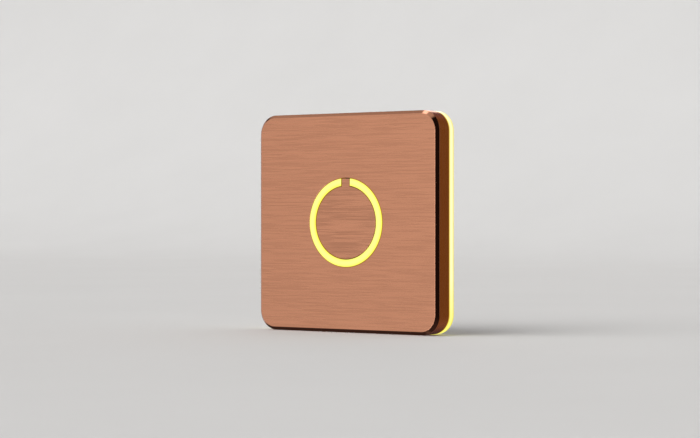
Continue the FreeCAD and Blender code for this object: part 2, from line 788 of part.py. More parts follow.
def button_plunger():
    """Moulded carrier of the cap: rim behind the ring's lip, tongue under the tab and stem."""
    body = new_body("button_plunger")
    profile = side_sketch(body, "profile")
    polygon(profile, [
        ("place.stem_end", "0"),
        ("place.stem_end", "size.stem_radius - size.stem_edge"),
        ("place.stem_end + size.stem_edge", "size.stem_radius"),
        ("place.plunger_level", "size.stem_radius"),
        ("place.plunger_level", "place.plunger_radius"),
        ("place.cap_level", "place.plunger_radius"),
        ("place.cap_level", "0"),
    ])
    turn(body, profile)
    tongue = front_sketch(body, "tongue", "place.plunger_level")
    rectangle(tongue, "-size.key_width / 2", "place.cap_radius / 2", "size.key_width / 2",
              "place.hole_radius - size.key_fit")
    pad(body, tongue, "size.plunger_thick")
    holes = front_sketch(body, "peg_holes", "place.cap_level - size.peg_length - size.peg_gap")
    for x, y in peg_places():
        square(holes, "size.peg_side + 2 * size.peg_gap", x, y)
    cut(body, holes, "size.peg_length + size.peg_gap")
    return body


def lean_axis(sketch, first, second):
    """Construction line through two points given by formulas; the first lies at height 0."""
    ends = [FreeCAD.Vector(value(x), value(y), 0) for x, y in (first, second)]
    line = sketch.addGeometry(Part.LineSegment(*ends), True)
    for point, (x, y) in enumerate((first, second), 1):
        hold(sketch, "DistanceX", line, point, x)
        hold(sketch, "DistanceY", line, point, y)
    return "Axis0"


def button_spring():
    """Compression spring between the hub and the plunger, coiled in half turns.

    Each half turn sweeps the wire round a leaning axis, square to the line from the half turn's start
    to its end, so it ends opposite its start, one rise nearer the front and in the same upright plane.
    """
    body = new_body("button_spring")
    start = "(place.hub_front + size.spring_gap + size.wire_radius)"
    end = "(place.plunger_level - size.spring_gap - size.wire_radius)"
    rise = f"(({end} - {start}) / size.spring_half_turns)"
    for i in range(int(value("size.spring_half_turns"))):
        side = "-" if i % 2 else ""
        section = side_sketch(body, f"wire_{i}")
        polygon(section, [
            (
                f"{start} + {i} * {rise} + size.wire_radius * cos({TURN / WIRE_SIDES * k})",
                f"{side}place.spring_radius + size.wire_radius * sin({TURN / WIRE_SIDES * k})",
            )
            for k in range(WIRE_SIDES)
        ])
        middle = f"{start} + {i + 0.5} * {rise}"
        axis = lean_axis(section, (middle, "0"), (f"{middle} + place.spring_radius", f"{side}{rise} / 2"))
        coil = body.newObject("PartDesign::Revolution", f"{section.Name}_half")
        coil.Profile = section
        coil.ReferenceAxis = (section, [axis])
        coil.Angle = TURN / 2
        document.recompute()
    return body


def button_carrier():
    """Moulded frame behind the face: seat for the ring, spokes, hub and guide bore."""
    body = new_body("button_carrier")
    plate = front_sketch(body, "plate", "place.carrier_level")
    rounded(plate, "2 * place.carrier_half", "2 * place.carrier_half", "size.carrier_corner")
    circle(plate, "place.window_radius")
    pad(body, plate, "place.face_back - place.carrier_level")
    hub = front_sketch(body, "hub", "place.hub_level")
    circle(hub, "place.hub_radius")
    pad(body, hub, "size.hub_thick")
    spoke = front_sketch(body, "spoke", "place.hub_level")
    rectangle(spoke, "-size.spoke_width / 2", "place.hub_radius / 2", "size.spoke_width / 2",
              "place.window_radius + size.spoke_overlap")
    arm = pad(body, spoke, "size.hub_thick")
    turned_by(spoke, TURN / SPOKES / 2)
    pattern_round(body, [arm], SPOKES)
    guide = front_sketch(body, "guide", "place.hub_level")
    circle(guide, "place.guide_radius")
    pad(body, guide, "place.guide_end - place.hub_level")
    pocket = front_sketch(body, "ring_pocket", "place.pocket_level")
    circle(pocket, "place.pocket_radius")
    circle(pocket, "place.window_radius")
    cut(body, pocket, "place.face_back - place.pocket_level")
    bore = front_sketch(body, "bore", "place.hub_level")
    circle(bore, "place.bore_radius")
    cut(body, bore, "place.guide_end - place.hub_level")
    lug = front_sketch(body, "lug", "place.pocket_level")
    rectangle(
        lug,
        "-size.ring_gap / 2 + size.lug_fit",
        "place.hole_radius",
        "size.ring_gap / 2 - size.lug_fit",
        "place.pocket_radius + size.spoke_overlap",
    )
    pad(body, lug, "place.face_back - place.pocket_level - size.shank_gap")
    holes = front_sketch(body, "screw_holes", "place.carrier_level")
    for x, y in corners("place.carrier_screw", "place.carrier_screw"):
        circle(holes, "size.carrier_hole_radius + size.shank_gap", x, y)
    cut(body, holes, "place.face_back - place.carrier_level")
    return body


def turned_by(sketch, angle):
    """Turns a front sketch about the pressing axis by an angle in degrees."""
    offset = sketch.AttachmentOffset
    turned = FreeCAD.Rotation(FreeCAD.Vector(0, 0, 1), angle)
    sketch.AttachmentOffset = FreeCAD.Placement(offset.Base, turned)
    document.recompute()


def cover_screws():
    """Two socket grub screws through the cover's lower wall into the tray's posts."""
    body = new_body("cover_screws")
    shank = top_sketch(body, "shank", "-place.half_height + size.grub_sink")
    circle(shank, "size.grub_radius", "size.tower_offset", "-place.grub_level")
    rod = pad(body, shank, "size.grub_length")
    socket = top_sketch(body, "socket", "-place.half_height + size.grub_sink")
    corner = f"size.hex_across / (2 * cos({TURN / HEX_SIDES / 2}))"
    polygon(socket, [
        (
            f"size.tower_offset + {corner} * cos({TURN / HEX_SIDES * i})",
            f"-place.grub_level + {corner} * sin({TURN / HEX_SIDES * i})",
        )
        for i in range(HEX_SIDES)
    ])
    key = cut(body, socket, "size.hex_depth")
    mirror(body, [rod, key], "YZ_Plane")
    return body


def switch_housing():
    """Moulded switch body with a round cavity for the dome and the actuator."""
    body = new_body("switch_housing")
    block = front_sketch(body, "block", "place.board_top")
    rounded(block, "size.switch_width", "size.switch_width", "size.switch_corner")
    pad(body, block, "size.switch_body")
    cavity = front_sketch(body, "cavity", "place.cavity_level")
    circle(cavity, "place.cavity_radius")
    cut(body, cavity, "size.switch_body - size.cavity_floor")
    return body


def switch_frame():
    """Steel plate over the switch, with a hole and two side tongues."""
    body = new_body("switch_frame")
    plate = front_sketch(body, "plate", "place.frame_level")
    rounded(plate, "size.switch_width", "size.switch_width", "size.switch_corner")
    circle(plate, "place.actuator_radius + size.actuator_fit")
    pad(body, plate, "size.frame_thick")
    tongues = front_sketch(body, "tongues", "place.frame_top - size.frame_drop")
    for inner, outer in (
        ("size.switch_width / 2", "size.switch_width / 2 + size.frame_thick"),
        ("-size.switch_width / 2 - size.frame_thick", "-size.switch_width / 2"),
    ):
        rectangle(tongues, "-size.frame_tongue / 2", inner, "size.frame_tongue / 2", outer)
    pad(body, tongues, "size.frame_drop")
    return body


def switch_actuator():
    """Push rod of the switch, held in by its collar."""
    body = new_body("switch_actuator")
    profile = side_sketch(body, "profile")
    polygon(profile, [
        ("place.collar_level - size.collar_thick", "0"),
        ("place.collar_level - size.collar_thick", "place.collar_radius"),
        ("place.collar_level", "place.collar_radius"),
        ("place.collar_level", "place.actuator_radius"),
        ("place.stem_end - size.actuator_crown", "place.actuator_radius"),
        ("place.stem_end", "place.actuator_radius - size.actuator_crown"),
        ("place.stem_end", "0"),
    ])
    turn(body, profile)
    return body


def switch_dome():
    """Snap dome of spring steel under the actuator."""
    body = new_body("switch_dome")
    profile = side_sketch(body, "profile")
    polygon(profile, [
        ("place.cavity_level", "place.dome_radius - size.dome_thick"),
        ("place.cavity_level", "place.dome_radius"),
        ("place.dome_top", "size.dome_top_radius"),
        ("place.dome_top", "0"),
        ("place.dome_top - size.dome_thick", "0"),
        ("place.dome_top - size.dome_thick", "size.dome_top_radius - size.dome_thick"),
    ])
    turn(body, profile)
    return body


def bent_legs(name, wall, rise, pitch, rows, wide, reach):
    """Rows of bent legs above and below a part that stands on the board at the middle."""
    body = new_body(name)
    made = []
    for i, row in enumerate(rows):
        leg = side_sketch(body, f"leg_{i}", f"({pitch}) * {row}")
        outer = f"({wall}) + ({reach}) / 2"
        polygon(leg, [
            (rise, wall),
            (f"{rise} + size.leg_thick", wall),
            (f"{rise} + size.leg_thick", f"{outer} + size.leg_thick"),
            ("place.board_top + size.leg_thick", f"{outer} + size.leg_thick"),
            ("place.board_top + size.leg_thick", f"({wall}) + ({reach})"),
            ("place.board_top", f"({wall}) + ({reach})"),
            ("place.board_top", outer),
            (rise, outer),
        ])
        made.append(pad(body, leg, wide, centred=True))
    mirror(body, made, "XY_Plane")
    return body


def switch_terminals():
    """Four legs of the switch."""
    return bent_legs(
        "switch_terminals", "size.switch_width / 2", "place.board_top + size.leg_rise",
        "size.switch_width / 2 - size.leg_inset", (-1, 1), "size.leg_width", "size.leg_reach",
    )


def stand_at(body, x, y, angle=0.0):
    """Puts a piece that is drawn at the middle at its place, turned about the pressing axis."""
    body.Placement = FreeCAD.Placement(
        FreeCAD.Vector(), FreeCAD.Rotation(FreeCAD.Vector(0, -1, 0), angle)
    )
    body.setExpression("Placement.Base.x", x)
    body.setExpression("Placement.Base.z", y)
    document.recompute()


def lamp(name, x, y, angle, sideways):
    """Light-emitting diode: housing with a window sunk in its front, or in its upper side."""
    body = new_body(name)
    block = front_sketch(body, "housing", "place.board_top")
    rectangle(block, "-size.lamp_length / 2", "-size.lamp_width / 2", "size.lamp_length / 2",
              "size.lamp_width / 2")
    pad(body, block, "size.lamp_height")
    left = "-size.lamp_length / 2 + size.lamp_window"
    right = "size.lamp_length / 2 - size.lamp_window"
    if sideways:
        window = top_sketch(body, "window", "size.lamp_width / 2 - size.lamp_sink")
        rectangle(window, left, "-place.board_top - size.lamp_height + size.lamp_sink",
                  right, "-place.board_top - size.lamp_sink")
    else:
        window = front_sketch(body, "window", "place.board_top + size.lamp_height - size.lamp_sink")
        rectangle(window, left, "-size.lamp_width / 2 + size.lamp_window",
                  right, "size.lamp_width / 2 - size.lamp_window")
    cut(body, window, "size.lamp_sink")
    stand_at(body, x, y, angle)
    return body


def ring_lamps():
    """Lamps under the ring, half a step away from its gap."""
    count = int(value("size.ring_lamp_count"))
    for i in range(count):
        angle = TURN * (i + 0.5) / count
        yield lamp(
            f"ring_led_{i + 1:02d}",
            f"-place.ring_lamp_circle * sin({angle})",
            f"place.ring_lamp_circle * cos({angle})",
            angle, sideways=False,
        )


def halo_lamps():
    """Side-firing lamps along the four edges of the board: top, left, bottom and right."""
    rows = ["-place.lamp_x_far", "-place.lamp_x_near", "place.lamp_x_near", "place.lamp_x_far"]
    columns = ["-place.lamp_y_far", "-place.lamp_y_near", "place.lamp_y_near", "place.lamp_y_far"]
    spots = [(x, "place.board_edge - place.lamp_out") for x in rows]
    spots += [("-(place.board_side - place.lamp_out)", y) for y in columns]
    spots += [(x, "-(place.board_edge - place.lamp_out)") for x in rows]
    spots += [("place.board_side - place.lamp_out", y) for y in columns]
    for i, (x, y) in enumerate(spots):
        yield lamp(f"halo_led_{i + 1:02d}", x, y, TURN / 4 * (i // 4), sideways=True)


def terminal_block():
    """Two-way block below the cable opening: wire entries above, screw wells in front."""
    body = new_body("terminal_block")
    block = front_sketch(body, "block", "place.board_top")
    rectangle(block, "-size.block_width / 2", "place.block_top - size.block_length",
              "size.block_width / 2", "place.block_top")
    pad(body, block, "place.block_front - place.board_top")
    entries = top_sketch(body, "wire_entries", "place.block_top - size.wire_hole_depth")
    wells = front_sketch(body, "wells", "place.well_level")
    for side in ("-", ""):
        middle = f"{side}size.wire_pitch / 2"
        rectangle(
            entries,
            f"{middle} - size.wire_hole / 2",
            "-place.board_top - size.clamp_thick - size.wire_hole",
            f"{middle} + size.wire_hole / 2",
            "-place.board_top - size.clamp_thick",
        )
        circle(wells, "size.well_radius", middle, "place.block_top - size.block_length / 2")
    cut(body, entries, "size.wire_hole_depth")
    cut(body, wells, "size.well_depth")
    return body


def terminal_clamps():
    """Two plated clamp plates on the floors of the wire entries."""
    body = new_body("terminal_clamps")
    plates = front_sketch(body, "plates", "place.board_top + size.clamp_thick")
    for side in ("-", ""):
        middle = f"{side}size.wire_pitch / 2"
        rectangle(
            plates,
            f"{middle} - size.wire_hole / 2 + size.clamp_thick / 2",
            "place.block_top - size.wire_hole_depth + size.clamp_thick / 2",
            f"{middle} + size.wire_hole / 2 - size.clamp_thick / 2",
            "place.block_top - size.clamp_thick",
        )
    pad(body, plates, "size.clamp_thick")
    return body


def terminal_screws():
    """Two slotted clamp screws at the floors of the wells."""
    body = new_body("terminal_screws")
    heads = front_sketch(body, "heads", "place.well_level")
    slots = front_sketch(body, "slots", "place.well_level + size.clamp_screw_height - size.drive_depth")
    middle_up = "place.block_top - size.block_length / 2"
    for side in ("-", ""):
        middle = f"{side}size.wire_pitch / 2"
        circle(heads, "size.clamp_screw_radius", middle, middle_up)
        rectangle(
            slots,
            f"{middle} - size.clamp_screw_radius - size.drive_width",
            f"{middle_up} - size.drive_width / 2",
            f"{middle} + size.clamp_screw_radius + size.drive_width",
            f"{middle_up} + size.drive_width / 2",
        )
    pad(body, heads, "size.clamp_screw_height")
    cut(body, slots, "size.drive_depth")
    return body


def chip(name, x, y, rows):
    """Flat package with a row of legs on each long side."""
    body = bent_legs(
        name, "size.chip_width / 2", "place.board_top + size.chip_height / 2",
        "size.chip_pitch", rows, "size.chip_leg_width", "size.chip_leg_reach",
    )
    block = front_sketch(body, "block", "place.board_top + size.leg_thick / 2")
    rectangle(block, "-size.chip_length / 2", "-size.chip_width / 2", "size.chip_length / 2",
              "size.chip_width / 2")
    top = pad(body, block, "size.chip_height")
    level = value("place.board_top + size.leg_thick / 2 + size.chip_height")
    chamfer(body, top, edges_at(top.Shape, level), "size.leg_thick")
    stand_at(body, x, y)
    return body


def smoothing_capacitor():
    """Moulded block with a bevelled top and a plated strip at each end."""
    body = new_body("smoothing_capacitor")
    block = front_sketch(body, "block", "place.board_top")
    rectangle(block, "-size.capacitor_length / 2", "-size.capacitor_width / 2",
              "size.capacitor_length / 2", "size.capacitor_width / 2")
    whole = pad(body, block, "size.capacitor_height")
    top = edges_at(whole.Shape, value("place.board_top + size.capacitor_height"))
    chamfer(body, whole, top, "size.capacitor_end")
    strips = front_sketch(body, "strips", "place.board_top")
    for inner, outer in (
        ("-size.capacitor_length / 2 - size.capacitor_end", "-size.capacitor_length / 2"),
        ("size.capacitor_length / 2", "size.capacitor_length / 2 + size.capacitor_end"),
    ):
        rectangle(strips, inner, "-size.capacitor_end_width / 2", outer, "size.capacitor_end_width / 2")
    pad(body, strips, "size.capacitor_height / 2")
    stand_at(body, "-place.chip_x", "size.chip_rise")
    return body


def resistor(number):
    """Chip resistor with raised end caps; the resistors stand in a column right of the middle."""
    body = new_body(f"resistor_{number:02d}")
    core = front_sketch(body, "core", "place.board_top")
    rectangle(core, "-size.resistor_length / 2", "-size.resistor_width / 2", "size.resistor_length / 2",
              "size.resistor_width / 2")
    pad(body, core, "size.resistor_height")
    dip = front_sketch(body, "dip", "place.board_top + size.resistor_height - size.resistor_dip")
    rectangle(
        dip,
        "-size.resistor_length / 2 + size.resistor_end", "-size.resistor_width",
        "size.resistor_length / 2 - size.resistor_end", "size.resistor_width",
    )
    cut(body, dip, "size.resistor_dip")
    stand_at(body, "place.chip_x", f"-size.resistor_drop - size.resistor_pitch * {number}")
    return body


pieces = [
    front_cover(),
    halo_diffuser(),
    base_tray(),
    wall_seal(),
    circuit_board(),
    pan_screws(
        "board_screws", "place.board_screw_x", "place.board_screw_y", "place.board_top",
        "size.board_thick + size.pilot_depth - size.shank_gap", "size.pilot_radius", forwards=True,
    ),
    ring_lens(),
    button_cap(),
    button_plunger(),
    button_spring(),
    button_carrier(),
    pan_screws(
        "carrier_screws", "place.carrier_screw", "place.carrier_screw", "place.carrier_level",
        "place.face_back - place.carrier_level + size.carrier_hole_depth - size.shank_gap",
        "size.carrier_hole_radius - size.shank_gap", forwards=False,
    ),
    cover_screws(),
    switch_housing(),
    switch_frame(),
    switch_actuator(),
    switch_dome(),
    switch_terminals(),
    terminal_block(),
    terminal_clamps(),
    terminal_screws(),
    chip("bridge_rectifier", "-place.chip_x", "-size.chip_rise", (-1, 1)),
    chip("led_driver", "place.chip_x", "size.chip_rise", (-1.5, -0.5, 0.5, 1.5)),
    smoothing_capacitor(),
]
pieces.extend(resistor(number) for number in range(1, RESISTORS + 1))
pieces.extend(ring_lamps())
pieces.extend(halo_lamps())

document.recompute()
for thing in document.Objects:
    if "Invalid" in thing.State or "Error" in thing.State:
        raise ValueError(f"{thing.Name} has failed: {thing.State}")
os.makedirs("parts", exist_ok=True)
for piece in pieces:
    shape = piece.Shape
    if shape.isNull() or not shape.isValid():
        raise ValueError(f"{piece.Label} has no sound shape")
    shape.exportStep(f"parts/{piece.Label}.step")
    print(f"{piece.Label}: {len(shape.Solids)} solid(s), {shape.Volume:.2f} mm3")
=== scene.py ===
import logging
from dataclasses import dataclass, field
from enum import Enum

import bmesh
import bpy
import numpy as np
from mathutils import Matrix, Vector


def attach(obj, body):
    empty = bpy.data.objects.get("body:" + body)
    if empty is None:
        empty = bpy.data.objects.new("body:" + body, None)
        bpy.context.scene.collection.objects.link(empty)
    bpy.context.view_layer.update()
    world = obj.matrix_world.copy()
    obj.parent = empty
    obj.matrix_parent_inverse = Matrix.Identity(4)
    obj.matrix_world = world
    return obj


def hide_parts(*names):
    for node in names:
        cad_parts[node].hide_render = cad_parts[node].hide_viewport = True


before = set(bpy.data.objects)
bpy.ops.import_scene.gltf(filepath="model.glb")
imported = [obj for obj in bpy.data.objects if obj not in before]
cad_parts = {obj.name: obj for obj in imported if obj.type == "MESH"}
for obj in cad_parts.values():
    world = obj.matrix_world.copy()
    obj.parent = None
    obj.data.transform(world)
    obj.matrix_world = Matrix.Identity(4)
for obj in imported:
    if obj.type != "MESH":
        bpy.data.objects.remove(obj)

MM = 0.001
SHARP_FROM = 35.0  # angle between faces, in degrees, from which an edge stays sharp
BOTH = (-1, 1)
Pair = tuple[float, float]
Triple = tuple[float, float, float]
Socket = bpy.types.NodeSocket
log = logging.getLogger("doorbell")


# Shapes
# Points are in millimetres as (across, level, up): a level is a distance in front of the wall.


def soften(
    corners: list[Triple], closed: bool = True, steps: int = 4, guard: float = 0.04
) -> np.ndarray:
    """Rounds the corners of a polyline.

    A corner that turns by an angle a gets an arc of its radius r, which touches both sides
    r * tan(a / 2) from the corner. One more point on each side, a little further out, keeps the
    flat sides flat under smooth shading.

    Args:
        corners: First coordinate, second coordinate and radius of each corner.
        closed: Whether the last corner joins the first.
        steps: Faces in each arc.
        guard: Distance from an arc's end to the extra point.

    Returns:
        Points as an array of shape (k, 2).
    """
    points = np.array([corner[:2] for corner in corners], float)
    made = []
    for i, (_, _, radius) in enumerate(corners):
        here = points[i]
        at_end = not closed and i in (0, len(points) - 1)
        if radius <= 0 or at_end:
            made.append(here[None])
            continue
        arriving = here - points[i - 1]
        leaving = points[(i + 1) % len(points)] - here
        arriving /= np.linalg.norm(arriving)
        leaving /= np.linalg.norm(leaving)
        turn = np.arccos(np.clip(arriving @ leaving, -1, 1))
        inward = leaving - (leaving @ arriving) * arriving
        inward /= np.linalg.norm(inward)
        touch = radius * np.tan(turn / 2)
        angle = np.linspace(0, turn, steps + 1)[:, None]
        arc = here - arriving * touch + radius * (np.sin(angle) * arriving + (1 - np.cos(angle)) * inward)
        made.append((here - arriving * (touch + guard))[None])
        made.append(arc)
        made.append((here + leaving * (touch + guard))[None])
    return np.vstack(made)


@dataclass(frozen=True)
class Outline:
    """Rectangle with round corners, seen from the front."""

    width: float = 80.0
    height: float = 80.0
    radius: float = 7.2
    across: float = 0.0
    up: float = 0.0
    corner_steps: int = 20
    side_steps: int = 12
    guard: float = 0.15
    shortest: float = 4.0  # in guards, the length below which a side gets no points of its own

    def inside(self, insets: np.ndarray) -> np.ndarray:
        """Outlines moved inwards.

        Every point is a core point plus (radius - inset) times a unit normal. Along a side the core
        point moves between two corner centres; round a corner it rests while the normal turns.

        Args:
            insets: One distance inwards for each outline, shape (k,).

        Returns:
            Points as an array of shape (k, n, 2).
        """
        half = np.array([self.width, self.height]) / 2 - self.radius
        signs = np.array([(1, 1), (-1, 1), (-1, -1), (1, -1)])
        core, normal = [], []
        for quarter in range(4):
            start, end = signs[quarter] * half, signs[(quarter + 1) % 4] * half
            angle = np.pi / 2 * (quarter + np.linspace(0, 1, self.corner_steps + 1))
            core.append(np.repeat(start[None], len(angle), 0))
            normal.append(np.stack([np.cos(angle), np.sin(angle)], 1))
            length = np.linalg.norm(end - start)
            if length > self.shortest * self.guard:
                near = self.guard / length
                share = np.linspace(near, 1 - near, self.side_steps + 1)[:, None]
                core.append(start + (end - start) * share)
                normal.append(np.repeat(normal[-1][-1:], len(share), 0))
        reach = (self.radius - np.asarray(insets, float))[:, None, None]
        shift = np.array([self.across, self.up])
        return np.vstack(core)[None] + reach * np.vstack(normal)[None] + shift


@dataclass
class Surface:
    """Closed surface made of grids of points, which becomes one mesh."""

    points: list[np.ndarray] = field(default_factory=list)
    faces: list[list[int]] = field(default_factory=list)

    def grid(self, rows: np.ndarray, loop: bool = False, wrap: bool = True) -> np.ndarray:
        """Adds a grid of points with a four-sided face between each two rows and two columns.

        Args:
            rows: Points (across, level, up) of shape (k, n, 3).
            loop: Whether the last row joins the first.
            wrap: Whether the last column joins the first.

        Returns:
            Number of each point in the mesh, shape (k, n).
        """
        first = sum(len(part) for part in self.points)
        index = np.arange(rows.shape[0] * rows.shape[1]).reshape(rows.shape[:2]) + first
        self.points.append(rows.reshape(-1, 3))
        joined = np.hstack([index, index[:, :1]]) if wrap else index
        joined = np.vstack([joined, joined[:1]]) if loop else joined
        quads = np.stack([joined[:-1, :-1], joined[:-1, 1:], joined[1:, 1:], joined[1:, :-1]], -1)
        self.faces.extend(quads.reshape(-1, 4).tolist())
        return index

    def mesh(self, name: str) -> bpy.types.Mesh:
        """Mesh with coinciding points merged and every face turned outwards.

        Args:
            name: Name of the mesh.

        Returns:
            The mesh, in metres, with its front towards -Y.
        """
        points = np.vstack(self.points)
        world = np.stack([points[:, 0], -points[:, 1], points[:, 2]], 1) * MM
        mesh = bpy.data.meshes.new(name)
        mesh.from_pydata(world.tolist(), [], self.faces)
        work = bmesh.new()
        work.from_mesh(mesh)
        bmesh.ops.remove_doubles(work, verts=work.verts, dist=1e-7)
        bmesh.ops.recalc_face_normals(work, faces=work.faces)
        work.to_mesh(mesh)
        work.free()
        return mesh


def raised(flat: np.ndarray, levels: np.ndarray) -> np.ndarray:
    """Flat outlines of shape (k, n, 2), each put at its level, as points of shape (k, n, 3)."""
    level = np.broadcast_to(levels[:, None], flat.shape[:2])
    return np.stack([flat[..., 0], level, flat[..., 1]], -1)


def carried(outline: Outline, profile: np.ndarray) -> np.ndarray:
    """Profile of (inset, level) points carried round an outline, as points of shape (k, n, 3)."""
    return raised(outline.inside(profile[:, 0]), profile[:, 1])


def closed_over(outline: Outline, profile: np.ndarray, solid: Surface | None = None) -> Surface:
    """Adds a profile carried round an outline, with both ends closed at the outline's middle.

    Args:
        outline: Path that the profile follows.
        profile: Points (inset, level) of shape (k, 2), from one end's edge to the other's.
        solid: Surface that takes the grid, if not a new one.

    Returns:
        The surface.
    """
    solid = solid or Surface()
    rows = carried(outline, profile)
    middle = np.array([outline.across, 0.0, outline.up])
    first = np.broadcast_to(middle + [0, profile[0, 1], 0], rows[:1].shape)
    last = np.broadcast_to(middle + [0, profile[-1, 1], 0], rows[:1].shape)
    solid.grid(np.vstack([first, rows, last]))
    return solid


def turned(profile: np.ndarray, count: int, across: float = 0.0, up: float = 0.0) -> np.ndarray:
    """Profile of (radius, level) points turned about the pressing direction, as rows of points.

    Args:
        profile: Points of shape (k, 2).
        count: Faces round the axis.
        across: Place of the axis, across.
        up: Place of the axis, up.

    Returns:
        Points of shape (k, count, 3).
    """
    angle = np.linspace(0, 2 * np.pi, count, endpoint=False)
    radius, level = profile[:, :1], profile[:, 1:]
    level = np.broadcast_to(level, (len(profile), count))
    return np.stack([across + radius * np.cos(angle), level, up + radius * np.sin(angle)], -1)


def upright(profile: np.ndarray, count: int, across: float, level: float) -> np.ndarray:
    """Profile of (radius, height) points turned about an upright axis, as rows of points."""
    made = turned(profile, count)
    return np.stack([across + made[..., 0], level + made[..., 2], made[..., 1]], -1)


def rod(radius: float, low: float, high: float) -> np.ndarray:
    """Section of a cylinder from its axis out, between two places along the axis."""
    return np.array([(0, low), (radius, low), (radius, high), (0, high)])


def placed(name: str, data: bpy.types.ID) -> bpy.types.Object:
    """Object with its data, linked into the scene.

    Args:
        name: Name of the object.
        data: Its mesh, light or camera.

    Returns:
        The object.
    """
    thing = bpy.data.objects.new(name, data)
    bpy.context.scene.collection.objects.link(thing)
    return thing


def finished(
    name: str, mesh: bpy.types.Mesh, finish: "Finish", body: str, *nodes: str
) -> bpy.types.Object:
    """Makes the object of a new piece, which stands for CAD nodes and rides on a body.

    Args:
        name: Name of the piece.
        mesh: Its mesh, in place.
        finish: Finish of the whole piece.
        body: Body that carries it.
        nodes: CAD nodes that it replaces.

    Returns:
        The object.
    """
    piece = placed(name, mesh)
    mesh.shade_smooth()
    mesh.set_sharp_from_angle(angle=np.radians(SHARP_FROM))
    mesh.materials.append(finish.material())
    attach(piece, body)
    if nodes:
        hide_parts(*nodes)
    log.info("%s: %d faces, stands for %s", name, len(mesh.polygons), ", ".join(nodes) or "no node")
    return piece


def carve(mesh: bpy.types.Mesh, tool: Surface, operation: str = "DIFFERENCE") -> bpy.types.Mesh:
    """Cuts a closed surface out of a mesh, or joins it on.

    Args:
        mesh: Mesh to work on; it is removed.
        tool: Closed surface of the cutters.
        operation: Name of Blender's boolean operation.

    Returns:
        The new mesh.
    """
    base, cutter = placed("base", mesh), placed("cutter", tool.mesh("cutter"))
    step = base.modifiers.new("carve", "BOOLEAN")
    step.object = cutter
    step.operation = operation
    step.solver = "EXACT"
    scene_graph = bpy.context.evaluated_depsgraph_get()
    made = bpy.data.meshes.new_from_object(base.evaluated_get(scene_graph))
    made.name = mesh.name
    for thing in (base, cutter):
        old = thing.data
        bpy.data.objects.remove(thing)
        bpy.data.meshes.remove(old)
    return made


# Finishes


class Slot(Enum):
    """Material slots."""

    COPPER = "brushed_copper"
    LIGHT = "opal_light"
    MOULDING = "black_moulding"
    SEAL = "seal_foam"
    BOARD = "board"
    SCREW = "screw_steel"
    SPRING = "spring_steel"
    SWITCH = "switch_moulding"
    ACTUATOR = "actuator_moulding"
    PLATED = "plated_steel"
    TERMINAL = "terminal_moulding"
    CHIP = "chip_resin"
    CAPACITOR = "capacitor_resin"
    RESISTOR = "resistor_body"
    LAMP = "lamp_body"


def opaque(colour: Triple | Socket) -> tuple[float, ...] | Socket:
    """Triple with an alpha of 1; a socket stays as it is."""
    return (*colour, 1.0) if isinstance(colour, tuple) else colour


@dataclass
class Nodes:
    """Node tree, with short ways to add and join its nodes."""

    tree: bpy.types.NodeTree

    def add(self, kind: str, inputs: dict | None = None, **settings: object) -> bpy.types.Node:
        """Adds a node.

        Args:
            kind: Type of the node, without the prefix ShaderNode.
            inputs: Sockets or values for its inputs, by name or number.
            settings: Its own settings.

        Returns:
            The node.
        """
        node = self.tree.nodes.new("ShaderNode" + kind)
        for title, setting in settings.items():
            setattr(node, title, setting)
        for title, source in (inputs or {}).items():
            if isinstance(source, Socket):
                self.tree.links.new(source, node.inputs[title])
            else:
                node.inputs[title].default_value = source
        return node

    def span(
        self, value: Socket, low: float, high: float, to_low: float = 0.0, to_high: float = 1.0
    ) -> Socket:
        """Value moved from one range to another, and kept inside it."""
        inputs = {0: value, 1: low, 2: high, 3: to_low, 4: to_high}
        return self.add("MapRange", inputs, clamp=True).outputs[0]

    def blend(
        self, share: Socket | float, first: Socket | Triple, second: Socket | Triple, kind: str = "MIX"
    ) -> Socket:
        """Two colours mixed, or put together by another kind of blending."""
        inputs = {0: share, 6: opaque(first), 7: opaque(second)}
        return self.add("Mix", inputs, data_type="RGBA", blend_type=kind).outputs[2]

    def sum(self, operation: str, first: Socket, second: Socket | float) -> Socket:
        """Two numbers put together by one operation."""
        return self.add("Math", {0: first, 1: second}, operation=operation).outputs[0]

    def times(self, first: Socket, second: Socket | float) -> Socket:
        """Product of two numbers."""
        return self.sum("MULTIPLY", first, second)

    def vector(self, operation: str, first: Socket, second: Socket | tuple = (0.0, 0.0, 0.0)) -> Socket:
        """Number that an operation finds from one or two vectors."""
        return self.add("VectorMath", {0: first, 1: second}, operation=operation).outputs[1]


